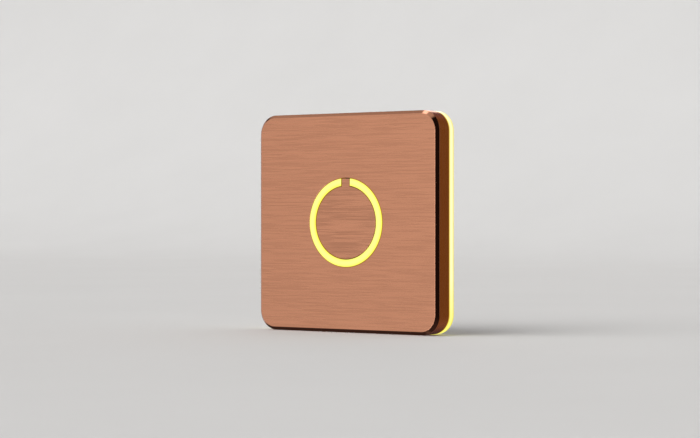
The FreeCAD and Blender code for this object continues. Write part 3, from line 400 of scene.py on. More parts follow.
class Shader(Nodes):
    """Node tree of one material, with its shader."""

    def __init__(self, name: str, **constants: float) -> None:
        """Starts a material.

        Args:
            name: Name of the material.
            constants: Values for the shader's own sockets, by name with _ for spaces.
        """
        self.material = bpy.data.materials.new(name)
        self.material.use_nodes = True
        super().__init__(self.material.node_tree)
        self.body = self.tree.nodes["Principled BSDF"]
        for title, number in constants.items():
            self.body.inputs[title.replace("_", " ")].default_value = number

    def place(self, scale: Triple = (1 / MM, 1 / MM, 1 / MM)) -> Socket:
        """Object coordinates stretched by a scale for each axis, or else in millimetres."""
        coords = self.add("TexCoord").outputs["Object"]
        return self.add("Mapping", {"Vector": coords, "Scale": scale}).outputs["Vector"]

    def parts(self) -> tuple[Socket, Socket, Socket]:
        """Place as a distance across, one in front of the wall and a height, in millimetres."""
        across, behind, up = self.add("SeparateXYZ", {0: self.place()}).outputs
        return across, self.times(behind, -1.0), up

    def noise(self, scale: Triple, detail: float = 3.0, rough: float = 0.55) -> Socket:
        """Noise between 0 and 1, with a number of features per metre along each axis."""
        inputs = {"Vector": self.place(scale), "Scale": 1.0, "Detail": detail, "Roughness": rough}
        return self.add("TexNoise", inputs).outputs["Fac"]

    def drive(self, title: str, source: Socket) -> None:
        """Joins a socket to one of the shader's inputs."""
        self.tree.links.new(source, self.body.inputs[title])

    def tint(self, colour: Triple, tone: Socket) -> None:
        """Gives the shader a colour times a tone, which is about 1."""
        grey = self.add("CombineColor", {0: tone, 1: tone, 2: tone}).outputs[0]
        self.drive("Base Color", self.blend(1.0, colour, grey, "MULTIPLY"))

    def relief(self, height: Socket, depth: float, strength: float) -> None:
        """Gives the shader a relief, from a height and the depth in metres that a height of 1 stands for."""
        inputs = {"Height": height, "Distance": depth, "Strength": strength}
        self.drive("Normal", self.add("Bump", inputs).outputs["Normal"])


@dataclass(frozen=True)
class Finish:
    """Finish of a piece; a kind of finish says how its material is made."""

    name: str
    slot: Slot

    def material(self) -> bpy.types.Material:
        """The finish's material, made once."""
        return bpy.data.materials.get(self.name) or self.made()

    def made(self) -> bpy.types.Material:
        """Makes the material."""
        raise NotImplementedError


@dataclass(frozen=True)
class BrushedCopper(Finish):
    """Brushed copper: fine scratches that differ in height, tone and gloss.

    They run from left to right on the face, and round the plate on its side. Between two levels in
    front of the wall the metal is cut after the brushing, and is smooth.
    """

    colour: Triple = (0.80, 0.362, 0.212)
    gloss: float = 0.25  # roughness, without what the scratches add
    uneven: Pair = (0.08, -0.05)  # what they add at their bottoms and tops
    scratch: float = 1.0  # strength of the scratches
    depth: float = 2.5e-6  # depth, in metres, of scratches of strength 1
    contrast: float = 0.10  # how much darker a scratch is
    cloudy: float = 0.015  # slow change of tone, up and down
    cut: Pair = (9.25, 10.495)  # levels, in mm, of the cut metal
    fade: Pair = (0.05, 0.03)  # widths, in mm, over which the cut metal starts and ends
    smooth: float = 0.42  # roughness of the cut metal, as a share of the brushed metal's

    def lines(self, s: Shader, level: Socket) -> Socket:
        """Scratches: hairlines and streaks across the face, and turned lines on the side.

        Args:
            s: Shader that takes the nodes.
            level: Distance in front of the wall, in millimetres.

        Returns:
            Height of the metal between 0 and 1.
        """
        hair = s.noise((150, 2000, 3800), detail=2.0, rough=0.5)
        streak = s.noise((75, 1000, 1900), detail=0.0)
        across = s.sum("ADD", s.times(hair, 0.5), s.times(streak, 0.5))
        around = s.noise((70, 3500, 70), detail=2.0, rough=0.5)
        side = s.span(level, self.cut[0] - self.fade[0], self.cut[0], 1.0, 0.0)
        return s.add("Mix", {0: side, 2: across, 3: around}).outputs[0]

    def made(self) -> bpy.types.Material:
        """Scratches give tone, roughness and relief, which all fade out on the cut metal.

        Returns:
            The material.
        """
        s = Shader(self.name, Metallic=1.0)
        start, end = self.cut
        level = s.parts()[1]
        lines = self.lines(s, level)
        cloud = s.noise((18, 18, 90), detail=2.0)
        slow = s.span(cloud, 0.3, 0.7, 1.0 - self.cloudy, 1.0 + self.cloudy)
        s.tint(self.colour, s.times(s.span(lines, 0.36, 0.6, 1.0 - self.contrast, 1.0), slow))
        below = s.span(level, start, start + self.fade[0], 1.0, self.smooth)
        above = s.span(level, end - self.fade[1], end, self.smooth, 1.0)
        left = s.sum("MAXIMUM", below, above)
        low, high = self.uneven
        s.drive("Roughness", s.times(s.span(lines, 0.35, 0.65, self.gloss + low, self.gloss + high), left))
        height = s.times(s.sum("SUBTRACT", lines, 0.5), s.span(left, self.smooth, 1.0))
        s.relief(height, self.depth * self.scratch, 0.5)
        return s.material


@dataclass(frozen=True)
class LitOpal(Finish):
    """Opal plastic lit from inside; its colour changes with the level in front of the wall and, on a ring,
    with painted shade.
    """

    levels: tuple[float, ...] = (0.0, 0.5, 1.2, 2.1, 2.65, 3.1)
    colours: tuple[Triple, ...] = (
        (0.88, 0.62, 0.05), (0.95, 0.90, 0.30), (0.96, 0.97, 0.54),
        (0.96, 0.97, 0.54), (0.94, 0.86, 0.24), (0.62, 0.28, 0.0),
    )
    deep: Triple = (1.0, 0.95, 0.34)  # what the deeper colour leaves of red, green and blue; on a ring it is also the colour of the painted shade
    shade_slant: Pair | None = None  # direction, seen from the front, of a ring's painted shade: the raised ring's shadow deepens its colour outside on that side and inside on the other
    middle: float = 14.875  # middle radius of a ring, in mm
    half: float = 1.375  # half of its width
    lean: Pair = (0.4, 1.1)  # weights of the painted shade's direction and of the distance from the middle
    most: float = 1.05  # sum of the two that gives the whole deeper colour
    fade: Pair | None = None  # heights, in mm, between which the colour deepens
    unlit: Triple = (0.03, 0.028, 0.02)  # colour of the plastic under its light
    covered: float = 0.85  # share of the unlit colour in the surface's own
    ripple: float = 0.03  # change of the brightness, up and down

    def leaning(self, s: Shader) -> Socket:
        """Share of the deeper colour on a ring.

        With t for (radius - middle) / half, the share is lean[0] t times the part of the outward
        direction that lies along the painted shade's direction, plus lean[1] t * t. The first term is
        painted shade: with light from the upper left, the raised ring's shadow deepens its outer edge
        at the lower right and its inner edge at the upper left.

        Args:
            s: Shader that takes the nodes.

        Returns:
            Share between 0 and 1.
        """
        across, _, up = s.parts()
        flat = s.add("CombineXYZ", {0: across, 2: up}).outputs[0]
        outward = s.add("VectorMath", {0: flat}, operation="NORMALIZE").outputs[0]
        side = s.vector("DOT_PRODUCT", outward, (self.shade_slant[0], 0.0, self.shade_slant[1]))
        place = s.sum("DIVIDE", s.sum("SUBTRACT", s.vector("LENGTH", flat), self.middle), self.half)
        painted_shade = s.times(s.times(place, side), self.lean[0])
        even = s.times(s.times(place, place), self.lean[1])
        return s.span(s.sum("ADD", painted_shade, even), 0.0, self.most)

    def made(self) -> bpy.types.Material:
        """The level sets the colour between those of a list, and slow noise the brightness.

        Returns:
            The material.
        """
        s = Shader(self.name, Roughness=0.3, IOR=1.49)
        _, level, up = s.parts()
        colour = self.colours[0]
        for i, shade in enumerate(self.colours[1:]):
            colour = s.blend(s.span(level, self.levels[i], self.levels[i + 1]), colour, shade)
        # Painted shade: the raised ring's own shadow, with light from the upper left, deepens its colour.
        if self.shade_slant:
            colour = s.blend(self.leaning(s), colour, self.deep, "MULTIPLY")
        if self.fade:
            share = s.span(up, self.fade[1], self.fade[0], 1.0, 0.0)
            colour = s.blend(share, colour, self.deep, "MULTIPLY")
        s.drive("Base Color", s.blend(self.covered, colour, self.unlit))
        s.drive("Emission Color", colour)
        slow = s.noise((70, 70, 70), detail=1.0)
        s.drive("Emission Strength", s.span(slow, 0.3, 0.7, 1.0 - self.ripple, 1.0 + self.ripple))
        return s.material


@dataclass(frozen=True)
class Moulded(Finish):
    """Moulded plastic or resin with a fine spark-eroded grain and a slow change of tone."""

    colour: Triple = (0.02, 0.02, 0.022)
    gloss: float = 0.5  # roughness, without what the grain adds
    uneven: Pair = (-0.07, 0.09)  # what it adds at its bottoms and tops
    cloudy: float = 0.15  # slow change of tone, up and down
    grain: float = 1500.0  # grains per metre
    depth: float = 2e-5

    def made(self) -> bpy.types.Material:
        """Fine noise gives the grain, and slow noise the tone.

        Returns:
            The material.
        """
        s = Shader(self.name, IOR=1.5)
        fine = s.noise((self.grain,) * 3, detail=3.0, rough=0.6)
        slow = s.noise((50, 50, 50), detail=2.0)
        s.tint(self.colour, s.span(slow, 0.3, 0.7, 1.0 - self.cloudy, 1.0 + self.cloudy))
        low, high = self.uneven
        s.drive("Roughness", s.span(fine, 0.3, 0.7, self.gloss + low, self.gloss + high))
        s.relief(fine, self.depth, 0.6)
        return s.material


@dataclass(frozen=True)
class Foam(Finish):
    """Closed-cell foam: small round cells, matt."""

    colour: Triple = (0.035, 0.035, 0.037)
    cells: float = 2600.0  # cells per metre
    pit_shade_tones: Pair = (0.45, 1.25)  # tone at a pit's bottom, darker as painted shade, and between the pits
    depth: float = 1.2e-4

    def made(self) -> bpy.types.Material:
        """Voronoi cells give the pits, whose bottoms are darkened by painted shade.

        Returns:
            The material.
        """
        s = Shader(self.name, Roughness=0.92)
        inputs = {"Vector": s.place((self.cells,) * 3), "Scale": 1.0}
        cells = s.add("TexVoronoi", inputs).outputs["Distance"]
        # Painted shade: each pit darker towards its middle.
        s.tint(self.colour, s.span(cells, 0.0, 0.6, *self.pit_shade_tones))
        s.relief(cells, self.depth, 0.8)
        return s.material


@dataclass(frozen=True)
class Steel(Finish):
    """Steel or plated metal with fine turning marks and a little tarnish."""

    colour: Triple = (0.56, 0.57, 0.59)
    gloss: float = 0.32  # roughness, without what the marks add
    uneven: Pair = (-0.08, 0.12)  # what they add at their bottoms and tops
    tarnish: float = 0.68  # brightness of the tarnished metal, as a share of the clean metal's
    depth: float = 8e-6

    def made(self) -> bpy.types.Material:
        """Noise gives the marks and patches of tarnish.

        Returns:
            The material.
        """
        s = Shader(self.name, Metallic=1.0)
        marks = s.noise((2500, 6000, 2500), detail=3.0)
        patch = s.span(s.noise((300, 300, 300), detail=3.0), 0.42, 0.7)
        s.drive("Base Color", s.blend(patch, self.colour, tuple(c * self.tarnish for c in self.colour)))
        low, high = self.uneven
        s.drive("Roughness", s.span(marks, 0.3, 0.7, self.gloss + low, self.gloss + high))
        s.relief(marks, self.depth, 0.5)
        return s.material


@dataclass(frozen=True)
class SolderMask(Finish):
    """Green solder mask over copper tracks and round pads with plated holes."""

    colour: Triple = (0.012, 0.085, 0.04)
    lighter: float = 2.1  # how much lighter the mask is over copper
    plating: Triple = (0.5, 0.48, 0.42)
    pad: Pair = (0.09, 0.11)  # distances from a dot's middle between which its pad ends
    hole: Pair = (0.05, 0.06)  # and the plating of its hole
    depth: float = 3e-5

    def made(self) -> bpy.types.Material:
        """Brick joints and scattered dots stand for the tracks and the plated holes.

        Returns:
            The material.
        """
        s = Shader(self.name, Roughness=0.3, IOR=1.55)
        flat = s.add("SeparateXYZ", {0: s.place((1, 1, 1))}).outputs
        plane = s.add("CombineXYZ", {0: flat[0], 1: flat[2]}).outputs[0]
        joints = {"Scale": 420.0, "Mortar Size": 0.03, "Mortar Smooth": 0.1, "Brick Width": 1.9,
                  "Row Height": 0.62}
        tracks = s.add("TexBrick", {"Vector": plane, **joints}, offset=0.37, squash=1.4, squash_frequency=3)
        dots = s.add("TexVoronoi", {"Vector": plane, "Scale": 310.0}, voronoi_dimensions="2D")
        away = dots.outputs["Distance"]
        raised = s.sum("MAXIMUM", tracks.outputs["Fac"], s.span(away, *self.pad, 1.0, 0.0))
        mask = s.blend(raised, self.colour, tuple(c * self.lighter for c in self.colour))
        s.drive("Base Color", s.blend(s.span(away, *self.hole, 1.0, 0.0), mask, self.plating))
        s.relief(raised, self.depth, 0.8)
        return s.material


@dataclass(frozen=True)
class LampBody(Finish):
    """White lamp with spots of yellow phosphor, which glows a little."""

    housing: Triple = (0.86, 0.85, 0.78)
    phosphor: Triple = (0.9, 0.72, 0.18)
    depth: float = 2e-5

    def made(self) -> bpy.types.Material:
        """Noise mixes the white of the housing and the yellow of the phosphor.

        Returns:
            The material.
        """
        s = Shader(self.name, Roughness=0.4, Emission_Strength=0.6)
        spots = s.noise((900, 900, 900), detail=2.0)
        colour = s.blend(s.span(spots, 0.4, 0.6), self.housing, self.phosphor)
        s.drive("Base Color", colour)
        s.drive("Emission Color", colour)
        s.relief(spots, self.depth, 0.4)
        return s.material


COPPER = BrushedCopper("copper_plate", Slot.COPPER)
COPPER_BUTTON = BrushedCopper("copper_button", Slot.COPPER, contrast=0.21, scratch=1.5, gloss=0.27)
BAND_LIGHT = LitOpal("opal_band", Slot.LIGHT, deep=(1.0, 0.985, 0.36), fade=(-20.0, -38.0))
# The ring's dark first colour, below the face's level, is painted shade in the gap round it; the direction
# (0.9, -0.44) paints the shade that the raised ring casts.
RING_LIGHT = LitOpal(
    "opal_ring", Slot.LIGHT, levels=(10.35, 10.5, 10.55, 10.61),
    colours=((0.20, 0.11, 0.006), (0.90, 0.68, 0.06), (0.97, 0.88, 0.10), (0.94, 0.93, 0.24)),
    shade_slant=(0.9, -0.44),
)
MOULDING = Moulded("black_tray", Slot.MOULDING, (0.05, 0.05, 0.052))
FOAM = Foam("foam_ring", Slot.SEAL)
STEEL_SCREW = Steel("zinc_screw", Slot.SCREW)
STEEL_GRUB = Steel("black_grub", Slot.SCREW, (0.12, 0.12, 0.125), 0.4)

# Finish of each CAD node that stays, by its name without a number.
NODE_FINISHES: dict[str, Finish] = {
    "ring_led": LampBody("lamp_white", Slot.LAMP),
    "halo_led": LampBody("lamp_white", Slot.LAMP),
    "resistor": Moulded("resistor_glaze", Slot.RESISTOR, (0.02, 0.03, 0.06), 0.3),
    "cover_screws": STEEL_GRUB,
    "board_screws": STEEL_SCREW,
    "carrier_screws": STEEL_SCREW,
    "terminal_screws": STEEL_SCREW,
    "button_spring": Steel("spring_wire", Slot.SPRING, (0.50, 0.50, 0.52), 0.24),
    "switch_dome": Steel("dome_sheet", Slot.SPRING, (0.62, 0.60, 0.55), 0.2),
    "switch_frame": Steel("frame_plating", Slot.PLATED, (0.66, 0.67, 0.68), 0.26),
    "switch_terminals": Steel("tinned_legs", Slot.PLATED, (0.72, 0.72, 0.71), 0.3),
    "terminal_clamps": Steel("clamp_plating", Slot.PLATED, (0.68, 0.66, 0.58), 0.3),
    "button_plunger": Moulded("plunger_acetal", Slot.MOULDING, (0.03, 0.03, 0.032), 0.34),
    "button_carrier": Moulded("carrier_moulding", Slot.MOULDING, (0.024, 0.024, 0.026), 0.5),
    "switch_housing": Moulded("switch_resin", Slot.SWITCH, (0.022, 0.022, 0.024), 0.4),
    "switch_actuator": Moulded("actuator_resin", Slot.ACTUATOR, (0.55, 0.53, 0.48), 0.38),
    "circuit_board": SolderMask("green_board", Slot.BOARD),
    "terminal_block": Moulded("block_nylon", Slot.TERMINAL, (0.03, 0.22, 0.09), 0.42),
    "bridge_rectifier": Moulded("rectifier_resin", Slot.CHIP, (0.018, 0.018, 0.02), 0.55),
    "led_driver": Moulded("driver_resin", Slot.CHIP, (0.016, 0.016, 0.018), 0.5),
    "smoothing_capacitor": Moulded("capacitor_body", Slot.CAPACITOR, (0.62, 0.36, 0.08), 0.45),
}


# Pieces


@dataclass
class CoverShell:
    """Copper shell: bevelled face with a round hole, side walls and two grub-screw holes."""

    outline: Outline = Outline()
    back: float = 3.1  # level of the open back edge
    face: float = 10.5  # level of the face
    bevel: float = 1.2
    wall: float = 2.0
    face_wall: float = 2.0
    hole_radius: float = 16.33
    arris: float = 0.1  # radius of the broken edges
    face_arris: float = 0.25  # radius between face and bevel
    hole_arris: float = 0.16
    inner_arris: float = 0.3
    spread_rows: int = 9  # rows on the face between the two zones
    rim_zone: float = 4.0  # depth, from the outline inwards, over which rows follow the outline
    hole_zone: float = 29.0  # depth from which rows follow the hole
    hole_depth: float = 30.0  # depth at which the hole's wall stands
    grub_places: Pair = (-20.0, 20.0)
    grub_level: float = 6.7
    grub_radius: float = 1.05
    grub_flare: float = 0.15
    grub_faces: int = 40

    def rows(self, profile: np.ndarray) -> np.ndarray:
        """Profile of (depth, level) points carried all the way round.

        Down to rim_zone a depth is an inset of the outline. From hole_zone on it is a circle whose
        radius falls by what the depth gains. Between the two, a point slides straight from the
        outline to the circle's point at the same angle.

        Args:
            profile: Points of shape (k, 2).

        Returns:
            Points of shape (k, n, 3).
        """
        depth = profile[:, 0]
        rim = self.outline.inside(np.minimum(depth, self.rim_zone))
        angle = np.arctan2(rim[..., 1], rim[..., 0])
        radius = self.hole_radius + self.hole_depth - np.maximum(depth, self.hole_zone)
        circle = radius[:, None, None] * np.stack([np.cos(angle), np.sin(angle)], -1)
        share = np.clip((depth - self.rim_zone) / (self.hole_zone - self.rim_zone), 0, 1)[:, None, None]
        return raised((1 - share) * rim + share * circle, profile[:, 1])

    def build(self) -> None:
        """Carries the shell's section round, then drills the two holes from below."""
        face_back = self.face - self.face_wall
        spread = np.linspace(self.rim_zone, self.hole_zone, self.spread_rows)
        section = [
            (0, self.back, self.arris),
            (0, self.face - self.bevel, self.arris),
            (self.bevel, self.face, self.face_arris),
            *[(u, self.face, 0) for u in spread],
            (self.hole_depth, self.face, self.hole_arris),
            (self.hole_depth, face_back, self.arris),
            *[(u, face_back, 0) for u in spread[::-1]],
            (self.wall, face_back, self.inner_arris),
            (self.wall, self.back, self.arris),
        ]
        shell = Surface()
        shell.grid(self.rows(soften(section)), loop=True)
        drill = Surface()
        for place in self.grub_places:
            drill.grid(self.drill(place))
        mesh = carve(shell.mesh("cover_shell"), drill)
        finished("cover_shell", mesh, COPPER, "housing", "front_cover")

    def drill(self, place: float) -> np.ndarray:
        """Upright cutter through the lower wall, flared where it leaves the metal.

        Args:
            place: Place of its axis, across.

        Returns:
            Points of shape (k, n, 3); the rows at both ends are poles.
        """
        foot, radius, flare = -self.outline.height / 2, self.grub_radius, self.grub_flare
        end = foot + self.wall + 1
        profile = np.array([
            (0, foot - 1), (radius + flare, foot - 1), (radius + flare, foot), (radius, foot + flare),
            (radius, end), (0, end),
        ])
        return upright(profile, self.grub_faces, place, self.grub_level)


@dataclass
class LightBand:
    """Lit opal frame against the wall, with the rib that nests in the shell."""

    outline: Outline = Outline()
    height: float = 3.1
    rib: Pair = (2.15, 3.45)  # insets of the rib's two sides
    rib_top: float = 4.9
    rebate: Pair = (1.45, 0.9)  # inset and level of the step behind
    arris: float = 0.08
    step_arris: float = 0.05
    rib_arris: float = 0.15

    def build(self) -> None:
        """Carries the frame's section round the outline."""
        section = [
            (0, 0, self.arris),
            (0, self.height, self.arris),
            (self.rib[0], self.height, self.step_arris),
            (self.rib[0], self.rib_top, self.rib_arris),
            (self.rib[1], self.rib_top, self.rib_arris),
            (self.rib[1], self.rebate[1], self.step_arris),
            (self.rebate[0], self.rebate[1], self.step_arris),
            (self.rebate[0], 0, self.arris),
        ]
        band = Surface()
        band.grid(carried(self.outline, soften(section)), loop=True)
        finished("light_band", band.mesh("light_band"), BAND_LIGHT, "housing", "halo_diffuser")


@dataclass
class LightRing:
    """C-shaped light guide in the face, open at the top."""

    back: float = 7.7
    flange_front: float = 8.5
    lip: float = 9.3
    front: float = 10.62
    inner: float = 13.5
    outer: float = 16.17
    step: float = 14.2
    flange: float = 18.0
    gap: float = 3.95
    count: int = 200
    arris: float = 0.1
    small_arris: float = 0.05

    def build(self) -> None:
        """Carries the section from one side of the gap to the other.

        The gap's sides are upright and parallel, so a point at radius r starts at the angle whose
        sine is half the gap over r, measured from 12 o'clock, and ends as far before the full turn.
        """
        small = self.small_arris
        section = soften([
            (self.step, self.back, small), (self.flange, self.back, small),
            (self.flange, self.flange_front, small), (self.outer, self.flange_front, small),
            (self.outer, self.front, self.arris), (self.inner, self.front, self.arris),
            (self.inner, self.lip, small), (self.step, self.lip, small),
        ])
        radius, level = section[:, :1], section[:, 1:]
        start = np.arcsin(self.gap / 2 / radius)
        angle = start + (2 * np.pi - 2 * start) * np.linspace(0, 1, self.count + 1)
        level = np.broadcast_to(level, angle.shape)
        rows = np.stack([radius * np.sin(angle), level, radius * np.cos(angle)], -1)
        ring = Surface()
        index = ring.grid(np.vstack([rows, rows[:1]]), wrap=False)
        ring.faces.append(index[:-1, 0].tolist())
        ring.faces.append(index[:-1, -1].tolist()[::-1])
        finished("light_ring", ring.mesh("light_ring"), RING_LIGHT, "housing", "ring_lens")


@dataclass
class ButtonDisc:
    """Copper disc with the tab that bridges the ring's gap, and the three pegs behind."""

    radius: float = 13.25
    tab_width: float = 3.35
    tab_end: float = 16.03
    tab_arris: float = 0.2  # radius of the tab's corners, seen from the front
    foot_arris: float = 0.25  # radius between the tab and the disc
    foot_angle: float = 1.6  # degrees of the disc's edge that this radius takes up
    count: int = 220  # points on the disc's edge
    back: float = 9.2
    front: float = 10.5
    arris: float = 0.1
    peg_side: float = 1.8
    peg_circle: float = 9.8
    peg_angles: tuple[float, ...] = (-90.0, 30.0, 150.0)
    peg_back: float = 8.7

    def edge(self) -> np.ndarray:
        """Outline of disc and tab: the disc's edge from one side of the tab round to the other.

        Returns:
            Points of shape (n, 2), anticlockwise.
        """
        half = self.tab_width / 2
        foot = np.sqrt(self.radius**2 - half**2)
        meet = np.arctan2(foot, half)
        away = np.radians(self.foot_angle)
        last = meet + away - 2 * np.pi + 2 * (np.pi / 2 - meet)
        arc = np.linspace(meet - away, last, self.count)[::-1]
        disc = [(self.radius * np.cos(a), self.radius * np.sin(a), 0.0) for a in arc]
        right = [(half, foot, self.foot_arris), (half, self.tab_end, self.tab_arris)]
        left = [(-x, y, radius) for x, y, radius in reversed(right)]
        return soften(disc + right + left, steps=5, guard=0.02)

    def build(self) -> None:
        """Carries the edge's section round the outline and closes both faces at the middle.

        Each row is the outline moved inwards along its own normals by the section's inset; the rows
        on the two flat faces are the outline scaled towards the middle.
        """
        edge = self.edge()
        along = np.roll(edge, -1, 0) - np.roll(edge, 1, 0)
        normal = np.stack([along[:, 1], -along[:, 0]], 1) / np.linalg.norm(along, axis=1)[:, None]
        front = [(0, self.front, self.arris), (2.0, self.front, 0)]
        section = soften([(2.0, self.back, 0), (0, self.back, 0.05), *front], closed=False, guard=0.03)[1:-1]
        rows = [edge - inset * normal for inset, _ in section]
        levels = [level for _, level in section]
        scales = (0.97, 0.8, 0.5, 0.2, 0.0)
        rows = [rows[0] * k for k in scales[::-1]] + rows + [rows[-1] * k for k in scales]
        levels = [self.back] * len(scales) + levels + [self.front] * len(scales)
        grid = np.stack([np.insert(row, 1, level, 1) for row, level in zip(rows, levels)])
        disc = Surface()
        disc.grid(grid)
        end = self.back + 0.2
        peg = soften([(0.3, self.peg_back, 0), (0, self.peg_back, 0.1), (0, end, 0)], closed=False)
        pegs = Surface()
        for angle in np.radians(self.peg_angles):
            across, up = self.peg_circle * np.cos(angle), self.peg_circle * np.sin(angle)
            closed_over(Outline(self.peg_side, self.peg_side, 0.15, across, up, 4, 1, 0.05), peg, pegs)
        mesh = carve(disc.mesh("button_disc"), pegs, "UNION")
        finished("button_disc", mesh, COPPER_BUTTON, "button", "button_cap")


@dataclass
class WallTray:
    """Moulded tray on the wall: floor, lip, rim, slots, cable opening, posts and hooks."""

    outline: Outline = Outline()
    floor: float = 1.6
    tray: float = 3.65  # inset of the tray's edge
    lip: Pair = (1.55, 0.8)
    rim: Pair = (5.75, 2.2)
    groove: Triple = (4.15, 5.45, 0.7)
    slot_place: float = 30.0
    slot: Pair = (7.0, 4.5)
    cable: tuple[float, float, float, float] = (20.0, 8.0, 2.0, -22.5)
    boss_place: float = 31.0
    boss: float = 4.4
    boss_foot: float = 1.3
    pilot: Triple = (0.8, 0.7, 3.0)  # radius and levels of a pilot hole
    post_place: float = 20.0
    post: Triple = (5.0, 3.7, 8.15)  # width, height and front of a post
    sunk: float = 0.4  # how far the posts reach into the floor
    hook: Triple = (6.4, 7.5, 2.3)  # levels and reach of a hook
    hook_side: float = 0.02  # how far a hook's sides lie inside its post
    socket: Triple = (1.05, 6.7, 1.7)  # radius, level and depth of a socket
    mark: Pair = (2.0, 0.06)  # radius and depth of the round marks on the back
    mark_places: tuple[Pair, ...] = ((-14, 14), (14, 14), (0, 26), (-14, -8), (14, -8))
    flare: float = 0.35  # width of the broken edges of the openings
    corner: float = 0.3  # radius of the corners of posts, hooks and bosses
    inner: float = 6.9  # inset of the innermost row that follows the outline

    def plate(self) -> Surface:
        """Floor with its lip, rim and the groove for the seal, closed at the middle of both sides.

        Returns:
            The closed surface.
        """
        edge, lip, rim, groove = self.tray, self.lip, self.rim, self.groove
        section = soften([
            (self.inner, 0, 0),
            (groove[1], 0, 0.12), (groove[1], groove[2], 0.1),
            (groove[0], groove[2], 0.1), (groove[0], 0, 0.12),
            (lip[0], 0, 0.15), (lip[0], lip[1], 0.15),
            (edge, lip[1], 0.1), (edge, rim[1], 0.15), (rim[0], rim[1], 0.15), (rim[0], self.floor, 0.2),
            (self.inner, self.floor, 0),
        ], closed=False)
        return closed_over(self.outline, section)

    def block(self, size: Pair, place: Pair, foot: float, head: float) -> Surface:
        """Block with softened edges: its width and height, its middle, and the levels of its ends."""
        side = [(self.corner, foot, 0), (0, foot, 0.1), (0, head, 0.15), (self.corner, head, 0)]
        return closed_over(Outline(*size, self.corner, *place, 4, 1, 0.05), soften(side, closed=False))

    def blocks(self) -> list[Surface]:
        """Posts at both edges, the hooks on the upper ones, and the bosses for the board's screws.

        Returns:
            Closed surfaces to join to the plate, in order.
        """
        top = self.outline.height / 2 - self.tray
        wide, deep, head = self.post
        back, front, reach = self.hook
        made = []
        for side in BOTH:
            across = side * self.post_place
            for end in (1, -1):
                middle = end * (top - deep / 2)
                made.append(self.block((wide, deep), (across, middle), self.floor - self.sunk, head))
            hook = wide - 2 * self.hook_side, reach + 1
            made.append(self.block(hook, (across, top + (reach - 1) / 2), back, front))
            for end in BOTH:
                place = side * self.boss_place, end * self.boss_place
                made.append(self.block((self.boss,) * 2, place, self.boss_foot, self.rim[1]))
        return made

    def through(self, shape: Outline, tool: Surface) -> None:
        """Adds a cutter through the floor, flared at both ends so that the opening's edges are broken."""
        wide, start, end = -self.flare - 0.3, self.flare, self.floor - self.flare
        closed_over(shape, np.array([(wide, -0.3), (0, start), (0, end), (wide, self.floor + 0.3)]), tool)

    def openings(self) -> Surface:
        """Cutters for the slots, the cable's opening, the pilot holes and the marks on the back.

        Returns:
            The closed surface of them all.
        """
        wide, high = self.slot
        tool = Surface()
        for side in BOTH:
            self.through(Outline(wide, high, high / 2, side * self.slot_place, 0.0, 16, 6), tool)
            for level in BOTH:
                tool.grid(turned(rod(*self.pilot), 24, side * self.boss_place, level * self.boss_place))
        width, height, radius, place = self.cable
        self.through(Outline(width, height, radius, 0.0, place, 16, 8), tool)
        radius, depth = self.mark
        for place in self.mark_places:
            tool.grid(turned(rod(radius, -0.1, depth), 48, *place))
        return tool

    def build(self) -> None:
        """Joins the blocks to the plate, then cuts the openings and the grub screws' sockets."""
        mesh = self.plate().mesh("wall_tray")
        for block in self.blocks():
            mesh = carve(mesh, block, "UNION")
        mesh = carve(mesh, self.openings())
        radius, level, depth = self.socket
        foot = self.tray - self.outline.height / 2
        drill = Surface()
        for side in BOTH:
            drill.grid(upright(rod(radius, foot - 1, foot + depth), 32, side * self.post_place, level))
        finished("wall_tray", carve(mesh, drill), MOULDING, "housing", "base_tray")


@dataclass
class SealRing:
    """Foam ring in the tray's groove, slightly crowned."""

    outline: Outline = Outline()
    insets: Pair = (4.2, 5.4)
    front: float = 0.65

    def build(self) -> None:
        """Carries the foam's section round the outline."""
        near, far = self.insets
        front = [(near, self.front, 0.1), (far, self.front, 0.1)]
        section = soften([(near, 0.0, 0.25), *front, (far, 0.0, 0.25)])
        ring = Surface()
        ring.grid(carried(self.outline, section), loop=True)
        finished("seal_ring", ring.mesh("seal_ring"), FOAM, "housing", "wall_seal")


@dataclass
class CarriedNodes:
    """CAD nodes that keep their shape and get a finish."""

    finishes: dict[str, Finish] = field(default_factory=lambda: NODE_FINISHES)

    def finish_of(self, node: str) -> Finish:
        """Finish of a node, by its name."""
        return self.finishes.get(node.rstrip("_0123456789"), MOULDING)

    def build(self) -> None:
        """Puts each shown node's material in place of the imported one."""
        for name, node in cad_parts.items():
            material = self.finish_of(name).material()
            node.data.materials.clear()
            node.data.materials.append(material)
            log.info("%s: %s", name, material.name)


# Stage


